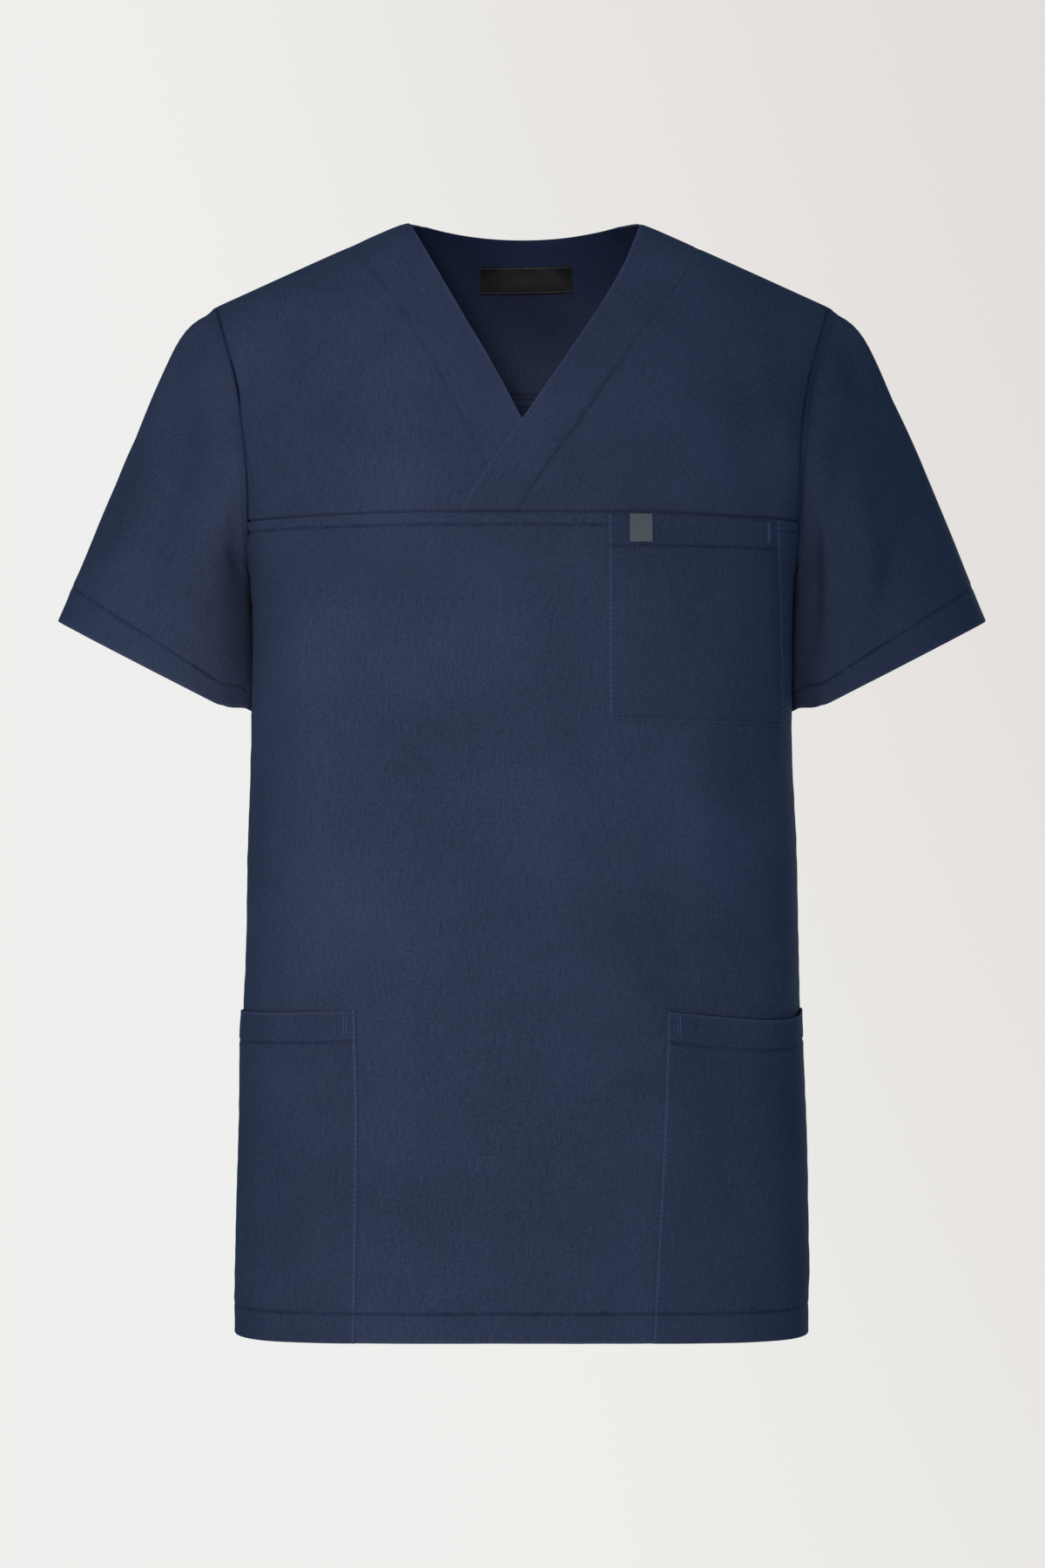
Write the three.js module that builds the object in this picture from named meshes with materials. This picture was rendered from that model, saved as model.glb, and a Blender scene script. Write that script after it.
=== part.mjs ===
// Short-sleeved V-neck medical scrub top, filled out as worn, hollow inside.
// Millimetres, +Z up. The front faces -Y and +X is the wearer's left.
// Origin: on the shoulder line at the height of the neck points, midway between them.
import * as THREE from 'three'

// Driving dimensions
const hemDrop = 744
const underarmDrop = 245
const frontYokeDrop = 203
const backYokeDrop = 116
const neckHalf = 76.5
const backNeckDip = 5.3
const backNeckLift = 47
const backNeckReach = 68.5
const collarHollow = 0.45
const collarHollowReach = 130
const shoulderPitch = 0.452
const shoulderStart = 79.5
const shoulderRounding = 3
const cloth = 1.2
const hemCloth = 2
const seamGap = 0.3
const hemDepth = 20
const bandRun = 38.5
const bandLap = 1.7
const underBandEnd = 188
const lapCover = 7
const lapFrom = 85
const lapFull = 125
const lapEases = 0.82
const yokeLapRise = 0.8
const yokeLapFade = 9
const yokeLapSide = 0.06
const labelCloth = 1
const labelStandOff = 1.9

// Body sections, one row for each drop below the neck points.
// half: half width; widest: Y of the widest line; front, back: depth before and behind it.
const sections = [
  { drop: 0, half: 222, widest: 0, front: 118, back: 108, squareFront: 2.1, squareBack: 2.1 },
  { drop: 60, half: 221, widest: -1, front: 118, back: 110, squareFront: 2.1, squareBack: 2.1 },
  { drop: 122, half: 216, widest: -4, front: 117, back: 114, squareFront: 2.2, squareBack: 2.2 },
  { drop: 203, half: 191.5, widest: -11, front: 114, back: 122, squareFront: 2.65, squareBack: 2.4 },
  { drop: 245, half: 182, widest: -14, front: 113, back: 127, squareFront: 3, squareBack: 2.6 },
  { drop: 330, half: 180.8, widest: -15, front: 113, back: 128, squareFront: 3.2, squareBack: 2.8 },
  { drop: 427, half: 183.4, widest: -15, front: 113, back: 126, squareFront: 3.4, squareBack: 3 },
  { drop: 522, half: 185.8, widest: -15, front: 114, back: 126, squareFront: 3.6, squareBack: 3.3 },
  { drop: 640, half: 188.2, widest: -15, front: 117, back: 128, squareFront: 4, squareBack: 3.6 },
  { drop: 744, half: 189.8, widest: -15, front: 119, back: 130, squareFront: 4.6, squareBack: 3.8 }
]

// Armhole: how far round from the centre line the panels reach, 1 at the side seam.
const armhole = {
  front: { tip: 0.749, middle: 0.632 },
  back: { tip: 0.749, middle: 0.66 }
}
const armholeTopTurn = Math.PI / 3
const armholeHalfDrop = underarmDrop / 2

// Free inner edges of the two neckbands: x at each drop.
const upperBandEdge = [
  { drop: 0, x: 80 },
  { drop: 29, x: 69 },
  { drop: 58, x: 53.7 },
  { drop: 90, x: 33.4 },
  { drop: 137, x: 2.6 },
  { drop: 180, x: -27.8 },
  { drop: 203, x: -40.5 }
]
const lowerBandEdge = [
  { drop: 0, x: -76 },
  { drop: 69, x: -38.2 },
  { drop: 97, x: -22.2 },
  { drop: 141, x: 0.5 },
  { drop: 203, x: 31 }
]

// Sleeve
const sleeve = {
  cuffTilt: THREE.MathUtils.degToRad(27.2),
  cuffTip: { x: 315, z: -270 },
  cuffHalfWidth: 79,
  cuffHalfDepth: 55,
  centre: 8,
  clear: 2.1,
  reachTip: 23,
  reachSide: 13,
  reachUnderarm: 3,
  creaseShare: 0.6,
  bendTip: 0.2,
  bendSide: 0.14,
  innerLift: 7,
  liftFrom: 0.55,
  liftFull: 0.85,
  restFrom: 130,
  restFull: 200,
  restStart: 0.04,
  softTop: 1.2,
  softCuff: 2.2,
  lowFrom: 1.3,
  lowCrease: 0.45,
  hemFrom: 0.91
}
// Shares of a sleeve's length at which it has a row, closer together at the seam and the hem's edge
const sleeveRows = [
  0, 0.012, 0.028, 0.05, 0.08, 0.12, 0.17, 0.24, 0.36, 0.5, 0.65, 0.8,
  sleeve.hemFrom - 0.002, sleeve.hemFrom + 0.005, 1
]

// Patch pockets: edges as x and drop at the corners.
const chestPocket = {
  left: [{ drop: 205, x: 56 }, { drop: 344, x: 56.3 }],
  right: [{ drop: 205, x: 168.4 }, { drop: 344, x: 172.3 }],
  top: 205.2,
  bottomLeft: 338,
  bottomRight: 343.2,
  settled: 217
}
const hipPocketRight = {
  inner: [{ drop: 528, x: 108.4 }, { drop: 600, x: 106.6 }, { drop: 744, x: 108.6 }],
  mouthInner: 528,
  mouthSag: 0.8,
  mouthSide: 532.5,
  gape: 1.2
}
const hipPocketLeft = {
  inner: [{ drop: 528, x: 94.2 }, { drop: 600, x: 91.8 }, { drop: 744, x: 85 }],
  mouthInner: 528.6,
  mouthSag: 6,
  mouthSide: 532.5,
  gape: 3
}
const pocketStandOff = 1.9
const sagSkew = 1.4
const gapeDepth = 0.35
const neckLabel = { left: -29.5, right: 35.3, top: 21.5, bottom: 40.2 }
const pocketLabel = { left: 69.5, right: 84.2, top: 204.8, bottom: 223.6 }

const navy = 0x2c3650
const twill = (shade) => new THREE.MeshStandardMaterial({ color: shade, roughness: 0.86, metalness: 0 })
const clothNavy = twill(navy)
const pocketNavy = twill(0x293249)
const labelBlack = new THREE.MeshStandardMaterial({ color: 0x14161a, roughness: 0.5, metalness: 0 })
const labelGrey = new THREE.MeshStandardMaterial({ color: 0x3a3d44, roughness: 0.45, metalness: 0 })

// Smooth reading of one column of a table between its rows.
function readTable(rows, key, column, at) {
  const last = rows.length - 1
  if (at <= rows[0][key]) return rows[0][column]
  if (at >= rows[last][key]) return rows[last][column]
  let k = 0
  while (rows[k + 1][key] < at) k += 1
  const slope = (i) => {
    const a = rows[Math.max(i - 1, 0)]
    const b = rows[Math.min(i + 1, last)]
    return (b[column] - a[column]) / (b[key] - a[key])
  }
  const span = rows[k + 1][key] - rows[k][key]
  const t = (at - rows[k][key]) / span
  const rise = t * t * (3 - 2 * t)
  return rows[k][column] * (1 - rise) + rows[k + 1][column] * rise
    + slope(k) * span * t * (1 - t) * (1 - t) - slope(k + 1) * span * t * t * (1 - t)
}

function sectionAt(drop) {
  const row = {}
  for (const column of Object.keys(sections[0])) row[column] = readTable(sections, 'drop', column, drop)
  return row
}

const clamp01 = (t) => Math.min(Math.max(t, 0), 1)
const smooth = (a, b, t) => THREE.MathUtils.smoothstep(t, a, b)
const mix = THREE.MathUtils.lerp

// Level: 0 on the shoulder ridge, 1 at the underarm, 2 at the hem.
function dropAt(level) {
  if (level <= 1) return underarmDrop * (1 - Math.cos(level * Math.PI / 2))
  return underarmDrop + (hemDrop - underarmDrop) * (level - 1)
}

function levelAt(drop) {
  if (drop <= underarmDrop) return Math.acos(1 - Math.max(drop, 0) / underarmDrop) * 2 / Math.PI
  return 1 + (drop - underarmDrop) / (hemDrop - underarmDrop)
}

function shoulderFall(across) {
  const past = (Math.abs(across) - shoulderStart) / 2
  return shoulderPitch * (past + Math.hypot(past, shoulderRounding))
}

// The shoulder slope fades out from the ridge to the underarm.
function slopeShare(drop) {
  return drop < underarmDrop ? 0.5 + 0.5 * Math.cos(Math.PI * drop / underarmDrop) : 0
}

function arch(drop) {
  const left = 1 - clamp01(drop / underarmDrop)
  return Math.sqrt(1 - left * left)
}

function frontArch(across, drop) {
  const left = 1 - clamp01(drop / underarmDrop)
  return arch(drop) * (1 - collarHollow * left * left * Math.exp(-Math.pow(across / collarHollowReach, 4)))
}

function backArch(across, drop) {
  const left = 1 - clamp01(drop / underarmDrop)
  const inside = clamp01(1 - Math.pow(across / neckHalf, 2))
  return arch(drop + backNeckLift * left * left * Math.pow(inside, 1.5))
}

const front = -1
const back = 1

// A point of the body form. Turn runs from -1 to 1 between the side seams, 0 at the centre.
function bodyPoint(face, turn, level) {
  const drop = dropAt(level)
  const row = sectionAt(drop)
  const angle = Math.abs(turn) * Math.PI / 2
  const square = face === front ? row.squareFront : row.squareBack
  const s = Math.sin(angle)
  const c = Math.max(Math.cos(angle), 0)
  const round = Math.pow(Math.pow(s, square) + Math.pow(c, square), 1 / square)
  const across = row.half * s / round
  const depth = face === front ? row.front * frontArch(across, drop) : row.back * backArch(across, drop)
  const x = turn < 0 ? -across : across
  const z = -drop - slopeShare(drop) * shoulderFall(across)
  return new THREE.Vector3(x, row.widest + face * depth * c / round, z)
}

// The turn at which a section lies a given distance from the centre line.
function turnAt(face, x, drop) {
  const row = sectionAt(drop)
  const square = face === front ? row.squareFront : row.squareBack
  const share = Math.min(Math.abs(x) / row.half, 0.9999)
  const rest = Math.pow(1 - Math.pow(share, square), 1 / square)
  return Math.sign(x) * Math.atan2(share, rest) * 2 / Math.PI
}

function bodyNormal(face, turn, level) {
  const step = 0.002
  const low = Math.max(level - step, 0)
  const along = bodyPoint(face, turn, level + step).sub(bodyPoint(face, turn, low))
  const before = bodyPoint(face, Math.max(turn - step, -1), level)
  const round = bodyPoint(face, Math.min(turn + step, 1), level).sub(before)
  const normal = along.cross(round).normalize()
  return face === front ? normal : normal.negate()
}

// A point of a panel, moved out from the body form by lift.
function panelPoint(face, turn, level, lift = 0) {
  const normal = bodyNormal(face, turn, level)
  return { middle: bodyPoint(face, turn, level).addScaledVector(normal, lift), normal }
}

function armholeTurn(face, drop) {
  const side = face === front ? armhole.front : armhole.back
  const below = (drop - armholeHalfDrop) / armholeHalfDrop
  if (below < 0) return side.middle + (side.tip - side.middle) * below * below
  return 1 - (1 - side.middle) * Math.sqrt(Math.max(1 - below * below, 0))
}

// Stations down the armhole edge: 0 at the shoulder tip, 1 half way down, 2 at the underarm.
function stationDrop(station) {
  if (station <= 1) return underarmDrop * (1 - Math.cos(station * armholeTopTurn))
  return armholeHalfDrop * (1 + Math.sin((station - 1) * Math.PI / 2))
}

function stationOf(drop) {
  if (drop <= armholeHalfDrop) return Math.acos(1 - drop / underarmDrop) / armholeTopTurn
  return 1 + Math.asin(drop / armholeHalfDrop - 1) * 2 / Math.PI
}

function spread(from, to, count) {
  return Array.from({ length: count + 1 }, (_, k) => mix(from, to, k / count))
}

const ridgeStation = 0.0017
const frontYokeStations = spread(ridgeStation, stationOf(frontYokeDrop), 11)
const frontBodyStations = spread(stationOf(frontYokeDrop), 2, 5)
const backYokeStations = spread(ridgeStation, stationOf(backYokeDrop), 8)
const backBodyStations = spread(stationOf(backYokeDrop), 2, 8)
const backColumns = 30
const rowRoom = 8
const sideGapTurn = seamGap / 2 / 190
const sideTurn = 1 - sideGapTurn

// Closed wall between an outer and an inner layer of the same grid.
function wallGeometry(grid, closed = false) {
  const rows = grid.length
  const columns = grid[0].length
  const positions = []
  for (const layer of ['outer', 'inner']) {
    for (const row of grid) {
      for (const cell of row) positions.push(cell[layer].x, cell[layer].y, cell[layer].z)
    }
  }
  const at = (layer, j, i) => (layer * rows + j) * columns + (i % columns)
  const faces = []
  const quad = (a, b, c, d) => faces.push(a, b, c, a, c, d)
  const spans = closed ? columns : columns - 1
  for (let j = 0; j < rows - 1; j += 1) {
    for (let i = 0; i < spans; i += 1) {
      quad(at(0, j, i), at(0, j + 1, i), at(0, j + 1, i + 1), at(0, j, i + 1))
      quad(at(1, j, i), at(1, j, i + 1), at(1, j + 1, i + 1), at(1, j + 1, i))
    }
  }
  for (let i = 0; i < spans; i += 1) {
    quad(at(0, 0, i), at(0, 0, i + 1), at(1, 0, i + 1), at(1, 0, i))
    quad(at(0, rows - 1, i), at(1, rows - 1, i), at(1, rows - 1, i + 1), at(0, rows - 1, i + 1))
  }
  if (!closed) {
    for (let j = 0; j < rows - 1; j += 1) {
      quad(at(0, j, 0), at(1, j, 0), at(1, j + 1, 0), at(0, j + 1, 0))
      const last = columns - 1
      quad(at(0, j, last), at(0, j + 1, last), at(1, j + 1, last), at(1, j, last))
    }
  }
  if (signedVolume(positions, faces) < 0) {
    for (let f = 0; f < faces.length; f += 3) [faces[f + 1], faces[f + 2]] = [faces[f + 2], faces[f + 1]]
  }
  const geometry = new THREE.BufferGeometry()
  geometry.setAttribute('position', new THREE.Float32BufferAttribute(positions, 3))
  geometry.setIndex(faces)
  geometry.computeVertexNormals()
  return geometry
}

function signedVolume(positions, faces) {
  const corner = (k) => new THREE.Vector3().fromArray(positions, faces[k] * 3)
  let sum = 0
  for (let f = 0; f < faces.length; f += 3) sum += corner(f).dot(corner(f + 1).cross(corner(f + 2)))
  return sum
}

// Outer and inner points of a wall; a hem is thicker on the inside only.
function wallCell({ middle, normal }, thickness = cloth) {
  return {
    outer: middle.clone().addScaledVector(normal, cloth / 2),
    inner: middle.clone().addScaledVector(normal, cloth / 2 - thickness)
  }
}

// A panel: for each drop, a row of points between its left and right turn.
function panelGeometry({ face, drops, left, right, columns, lift = () => 0, thickness = () => cloth }) {
  const grid = drops.map((drop, j) => {
    const down = j / (drops.length - 1)
    return Array.from({ length: columns + 1 }, (_, i) => {
      const side = i / columns
      const dropHere = typeof drop === 'function' ? drop(side) : drop
      const turn = mix(left(dropHere), right(dropHere), side)
      const point = panelPoint(face, turn, levelAt(dropHere), lift(side, dropHere, down))
      return wallCell(point, thickness(dropHere, down))
    })
  })
  return wallGeometry(grid)
}

const group = new THREE.Group()

function addPiece(name, geometry, material) {
  const mesh = new THREE.Mesh(geometry, material)
  mesh.name = name
  group.add(mesh)
}

const upperEdge = (drop) => readTable(upperBandEdge, 'drop', 'x', drop)
const lowerEdge = (drop) => readTable(lowerBandEdge, 'drop', 'x', drop)
const upperSeam = (drop) => upperEdge(drop) + bandRun
const lowerSeam = (drop) => lowerEdge(drop) - bandRun
const frontTurn = (x, drop) => turnAt(front, x, drop)
const yokeDrops = frontYokeStations.map(stationDrop)
yokeDrops[yokeDrops.length - 1] -= seamGap / 2

function frontYokes() {
  addPiece('front_yoke_right', panelGeometry({
    face: front,
    drops: yokeDrops,
    left: (drop) => -armholeTurn(front, drop),
    right: (drop) => frontTurn(lowerSeam(drop) - seamGap, drop),
    columns: 10
  }), clothNavy)
  addPiece('front_yoke_left', panelGeometry({
    face: front,
    drops: yokeDrops,
    left: (drop) => frontTurn(upperSeam(drop) + seamGap, drop),
    right: (drop) => armholeTurn(front, drop),
    columns: 10
  }), clothNavy)
}

// The band on the wearer's left laps over the other one and ends in the yoke seam.
function neckbands() {
  const lapEdge = (drop) => upperSeam(drop) - lapCover
  const lowDrops = yokeDrops.filter((drop) => drop < underBandEnd - rowRoom)
  lowDrops.push(underBandEnd)
  addPiece('neckband_right', panelGeometry({
    face: front,
    drops: lowDrops,
    left: (drop) => frontTurn(lowerSeam(drop), drop),
    right: (drop) => frontTurn(Math.min(lowerEdge(drop), lapEdge(drop)), drop),
    columns: 4
  }), clothNavy)
  addPiece('neckband_left', panelGeometry({
    face: front,
    drops: yokeDrops,
    left: (drop) => frontTurn(upperEdge(drop), drop),
    right: (drop) => frontTurn(upperSeam(drop), drop),
    columns: 7,
    lift: (side, drop) => bandLap * smooth(lapFrom, lapFull, drop) * (1 - smooth(lapEases, 1, side))
  }), clothNavy)
}

const hemStart = hemDrop - hemDepth
const hemStep = 0.6
const skirtRows = spread(underarmDrop, 685, 11).slice(1)
const skirtDrops = [...skirtRows, hemStart - hemStep, hemStart + hemStep, hemDrop]
const hemThickness = (drop) => (drop > hemStart ? hemCloth : cloth)

function lowerBody() {
  const reach = (face) => (drop) => (
    drop < underarmDrop ? Math.min(armholeTurn(face, drop), sideTurn) : sideTurn
  )
  const lower = (face, stations) => ({
    face,
    left: (drop) => -reach(face)(drop),
    right: reach(face),
    thickness: hemThickness,
    drops: [...stations.map(stationDrop), ...skirtDrops]
  })
  const frontPanel = lower(front, frontBodyStations)
  frontPanel.drops[0] += seamGap / 2
  frontPanel.drops.splice(1, 0, frontYokeDrop + yokeLapFade - 1)
  addPiece('front_body', panelGeometry({
    ...frontPanel,
    columns: 32,
    lift: (side, drop) => yokeLapRise * (1 - smooth(frontYokeDrop, frontYokeDrop + yokeLapFade, drop))
      * smooth(0, yokeLapSide, side) * smooth(0, yokeLapSide, 1 - side)
  }), clothNavy)
  const backPanel = lower(back, backBodyStations)
  backPanel.drops[0] += seamGap / 2
  addPiece('back_body', panelGeometry({ ...backPanel, columns: backColumns }), clothNavy)
}

function backYoke() {
  const neckline = (x) => backNeckDip * clamp01(1 - Math.pow(x / backNeckReach, 2))
  const bottom = backYokeDrop - seamGap / 2
  const rows = backYokeStations.map((station, j) => {
    const even = stationDrop(station)
    const fade = Math.pow(1 - j / (backYokeStations.length - 1), 2)
    return (side) => {
      const turn = mix(-1, 1, side) * armholeTurn(back, even)
      const x = bodyPoint(back, turn, levelAt(even)).x
      return Math.min(even + neckline(x) * fade, bottom)
    }
  })
  addPiece('back_yoke', panelGeometry({
    face: back,
    drops: rows,
    left: (drop) => -armholeTurn(back, drop),
    right: (drop) => armholeTurn(back, drop),
    columns: backColumns
  }), clothNavy)
}

// The ring of armhole points on one side: shoulder tip, down the front, underarm, up the back.
function armholeRing(side) {
  const ring = []
  const downFront = [...frontYokeStations.slice(1), ...frontBodyStations.slice(1)]
  const upBack = [...backYokeStations.slice(1, -1), ...backBodyStations].reverse().slice(1)
  const add = (face, station) => {
    const drop = stationDrop(station)
    const turn = side * Math.min(armholeTurn(face, drop), 1 - sideGapTurn / 2)
    ring.push({ face, station, turn, level: levelAt(drop) })
  }
  add(front, 0)
  downFront.forEach((station) => add(front, station))
  upBack.forEach((station) => add(back, station))
  return ring.map((edge) => ({
    ...edge,
    point: bodyPoint(edge.face, edge.turn, edge.level),
    normal: bodyNormal(edge.face, edge.turn, edge.level)
  }))
}

// How far out the body form lies at a depth and height.
function bodyHalfAt(y, z) {
  const row = sectionAt(-z)
  const ahead = y < row.widest
  const share = Math.min(Math.abs(y - row.widest) / (ahead ? row.front : row.back), 1)
  const square = ahead ? row.squareFront : row.squareBack
  return row.half * Math.pow(1 - Math.pow(share, square), 1 / square)
}

function sleeveSurface(side) {
  const ring = armholeRing(side)
  const count = ring.length
  const out = new THREE.Vector3(side * Math.cos(sleeve.cuffTilt), 0, Math.sin(sleeve.cuffTilt))
  const slopeOut = new THREE.Vector3(side, 0, -0.3).normalize()
  const lengths = [0]
  for (let k = 0; k < count; k += 1) {
    lengths.push(lengths[k] + ring[k].point.distanceTo(ring[(k + 1) % count].point))
  }
  const cuffCentre = new THREE.Vector3(side * sleeve.cuffTip.x, sleeve.centre, sleeve.cuffTip.z)
    .addScaledVector(out, -sleeve.cuffHalfWidth)
  const lines = ring.map((edge, k) => {
    const share = lengths[k] / lengths[count]
    const toSide = Math.sin(Math.PI * edge.station / 2)
    const low = smooth(sleeve.lowFrom, 2, edge.station)
    const before = ring[(k + count - 1) % count].point
    const after = ring[(k + 1) % count].point
    const tangent = after.clone().sub(before).normalize()
    const hole = edge.normal.clone().cross(tangent).multiplyScalar(side).normalize()
    const crease = sleeve.creaseShare * Math.max(toSide, 0)
    const start = hole.lerp(slopeOut, Math.max(crease, sleeve.lowCrease * low)).normalize()
    const reach = mix(mix(sleeve.reachTip, sleeve.reachSide, toSide), sleeve.reachUnderarm, low)
    const seam = edge.point.clone().addScaledVector(start, seamGap)
    const knee = edge.point.clone().addScaledVector(start, reach)
    const angle = share * Math.PI * 2
    const cuff = cuffCentre.clone()
      .addScaledVector(out, sleeve.cuffHalfWidth * Math.cos(angle))
      .add(new THREE.Vector3(0, -sleeve.cuffHalfDepth * Math.sin(angle), 0))
    cuff.z += sleeve.innerLift * smooth(sleeve.liftFrom, sleeve.liftFull, -Math.cos(angle))
    const bend = mix(sleeve.bendTip, sleeve.bendSide, Math.max(toSide, low))
    return { seam, knee, cuff, bend, end: knee.clone().lerp(cuff, bend) }
  })
  const free = (k, t) => {
    const line = lines[k % count]
    if (t >= line.bend) return line.end.clone().lerp(line.cuff, (t - line.bend) / (1 - line.bend))
    const u = t / line.bend
    return line.seam.clone().multiplyScalar((1 - u) * (1 - u))
      .addScaledVector(line.knee, 2 * u * (1 - u))
      .addScaledVector(line.end, u * u)
  }
  // Where the sleeve would pass into the body's side it lies against it, a little clear.
  const place = (k, t) => {
    const point = free(k, t)
    const room = bodyHalfAt(point.y, point.z) + sleeve.clear - Math.abs(point.x)
    const softness = mix(sleeve.softTop, sleeve.softCuff, smooth(0, 0.5, t))
    const push = softness * Math.log1p(Math.exp(Math.min(room / softness, 40)))
    const below = smooth(sleeve.restFrom, sleeve.restFull, -point.z)
    const share = below * smooth(0, sleeve.restStart, t)
    return point.addScaledVector(out, push * share / Math.cos(sleeve.cuffTilt))
  }
  return { ring, count, place }
}

function sleeveGeometry(side) {
  const { ring, count, place } = sleeveSurface(side)
  const step = 0.004
  const grid = sleeveRows.map((t, j) => ring.map((edge, k) => {
    const middle = place(k, t)
    const down = place(k, Math.min(t + step, 1)).sub(place(k, Math.max(t - step, 0)))
    const round = place(k + 1, t).sub(place(k + count - 1, t))
    const normal = round.cross(down).multiplyScalar(side).normalize()
    if (j === 0) normal.copy(edge.normal)
    return wallCell({ middle, normal }, t > sleeve.hemFrom ? hemCloth : cloth)
  }))
  return wallGeometry(grid, true)
}

function sleeves() {
  addPiece('sleeve_right', sleeveGeometry(-1), clothNavy)
  addPiece('sleeve_left', sleeveGeometry(1), clothNavy)
}

function pockets() {
  const at = (rows, drop) => readTable(rows, 'drop', 'x', drop)
  const bottom = (side) => mix(chestPocket.bottomLeft, chestPocket.bottomRight, side)
  const chestRows = spread(0, 1, 9).map((down) => (side) => mix(chestPocket.top, bottom(side), down))
  addPiece('chest_pocket', panelGeometry({
    face: front,
    drops: chestRows,
    left: (drop) => frontTurn(at(chestPocket.left, drop), drop),
    right: (drop) => frontTurn(at(chestPocket.right, drop), drop),
    columns: 14,
    lift: (side, drop) => pocketStandOff
      + yokeLapRise * (1 - smooth(frontYokeDrop, chestPocket.settled, drop))
  }), pocketNavy)

  const hip = (name, pocket, side) => {
    const mouth = (across) => {
      const fromInner = side < 0 ? 1 - across : across
      const sag = pocket.mouthSag * Math.sin(Math.PI * Math.pow(fromInner, sagSkew))
      return mix(pocket.mouthInner, pocket.mouthSide, fromInner) + sag
    }
    const rows = [0, 0.05, 0.1, 0.2, 0.33, 0.46, 0.59, 0.72, 0.84, 0.92, 1]
      .map((down) => (across) => mix(mouth(across), hemDrop, down))
    const inner = (drop) => side * frontTurn(at(pocket.inner, drop), drop)
    const outer = () => side * sideTurn
    addPiece(name, panelGeometry({
      face: front,
      drops: rows,
      left: side < 0 ? outer : inner,
      right: side < 0 ? inner : outer,
      columns: 16,
      lift: (across, drop, down) => pocketStandOff
        + pocket.gape * Math.sin(Math.PI * across) * Math.pow(1 - smooth(0, gapeDepth, down), 2)
    }), pocketNavy)
  }
  hip('hip_pocket_right', hipPocketRight, -1)
  hip('hip_pocket_left', hipPocketLeft, 1)
}

function labels() {
  const tag = (name, face, size, lift, material) => {
    addPiece(name, panelGeometry({
      face,
      drops: spread(size.top, size.bottom, 4),
      left: (drop) => turnAt(face, size.left, drop),
      right: (drop) => turnAt(face, size.right, drop),
      columns: 6,
      lift: () => lift,
      thickness: () => labelCloth
    }), material)
  }
  tag('neck_label', back, neckLabel, -labelStandOff, labelBlack)
  tag('pocket_label', front, pocketLabel, pocketStandOff + yokeLapRise + cloth + seamGap, labelGrey)
}

frontYokes()
neckbands()
lowerBody()
backYoke()
sleeves()
pockets()
labels()

export default group
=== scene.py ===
import math

import bpy
import numpy as np
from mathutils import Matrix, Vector
from mathutils.bvhtree import BVHTree


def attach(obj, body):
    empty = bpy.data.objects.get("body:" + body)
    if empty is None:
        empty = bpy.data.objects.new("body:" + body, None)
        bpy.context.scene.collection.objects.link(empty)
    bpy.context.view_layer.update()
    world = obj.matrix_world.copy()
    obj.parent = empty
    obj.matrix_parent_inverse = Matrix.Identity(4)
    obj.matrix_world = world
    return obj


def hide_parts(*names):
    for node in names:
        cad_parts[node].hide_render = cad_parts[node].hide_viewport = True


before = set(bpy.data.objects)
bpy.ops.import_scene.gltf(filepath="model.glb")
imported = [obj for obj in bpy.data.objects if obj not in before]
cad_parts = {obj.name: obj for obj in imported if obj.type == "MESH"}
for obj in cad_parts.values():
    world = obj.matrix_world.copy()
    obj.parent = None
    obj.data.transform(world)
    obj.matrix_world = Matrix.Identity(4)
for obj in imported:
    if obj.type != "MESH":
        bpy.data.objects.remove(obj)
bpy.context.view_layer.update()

mm = 0.001               # forms are worked out in millimetres and made in metres
front = -1
back = 1

# The camera stands where the photograph was taken from, level with the middle of the picture.
photoView = {"distance": 3200, "aside": 0.3, "height": -380.3, "heightSeen": 1062.9, "sensor": 36}

print("camera")
cameraData = bpy.data.cameras.new("photoCamera")
cameraData.sensor_width = photoView["sensor"]
cameraData.lens = photoView["sensor"] * photoView["distance"] / photoView["heightSeen"]
camera = bpy.data.objects.new("photoCamera", cameraData)
camera.location = (photoView["aside"] * mm, -photoView["distance"] * mm, photoView["height"] * mm)
camera.rotation_euler = (math.pi / 2, 0, 0)
bpy.context.scene.collection.objects.link(camera)
bpy.context.scene.camera = camera
bpy.context.scene.view_settings.view_transform = "Standard"


def linear(hexText, alpha=1.0):
    values = [int(hexText[k:k + 2], 16) / 255 for k in (1, 3, 5)]
    return tuple(v / 12.92 if v <= 0.04045 else ((v + 0.055) / 1.055) ** 2.4 for v in values) + (alpha,)


# Adds a node of any kind, sets its own settings, and fills its sockets with values or links.
def addNode(tree, kind, place, sockets=None, **settings):
    node = tree.nodes.new(kind)
    node.location = place
    for name, value in settings.items():
        setattr(node, name, value)
    for name, value in (sockets or {}).items():
        if isinstance(value, bpy.types.NodeSocket):
            tree.links.new(value, node.inputs[name])
        else:
            node.inputs[name].default_value = value
    return node


def newMaterial(name):
    material = bpy.data.materials.new(name)
    material.use_nodes = True
    material.node_tree.nodes.clear()
    return material, material.node_tree


def finishMaterial(tree, surface):
    addNode(tree, "ShaderNodeOutputMaterial", (900, 0), {"Surface": surface.outputs[0]})


# Mixes two values, or two colours, by a share.
def blend(tree, place, share, first, second, kind="FLOAT"):
    socket, result = (2, 0) if kind == "FLOAT" else (6, 2)
    node = addNode(tree, "ShaderNodeMix", place,
                   {0: share, socket: first, socket + 1: second}, data_type=kind)
    return node.outputs[result]


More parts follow.
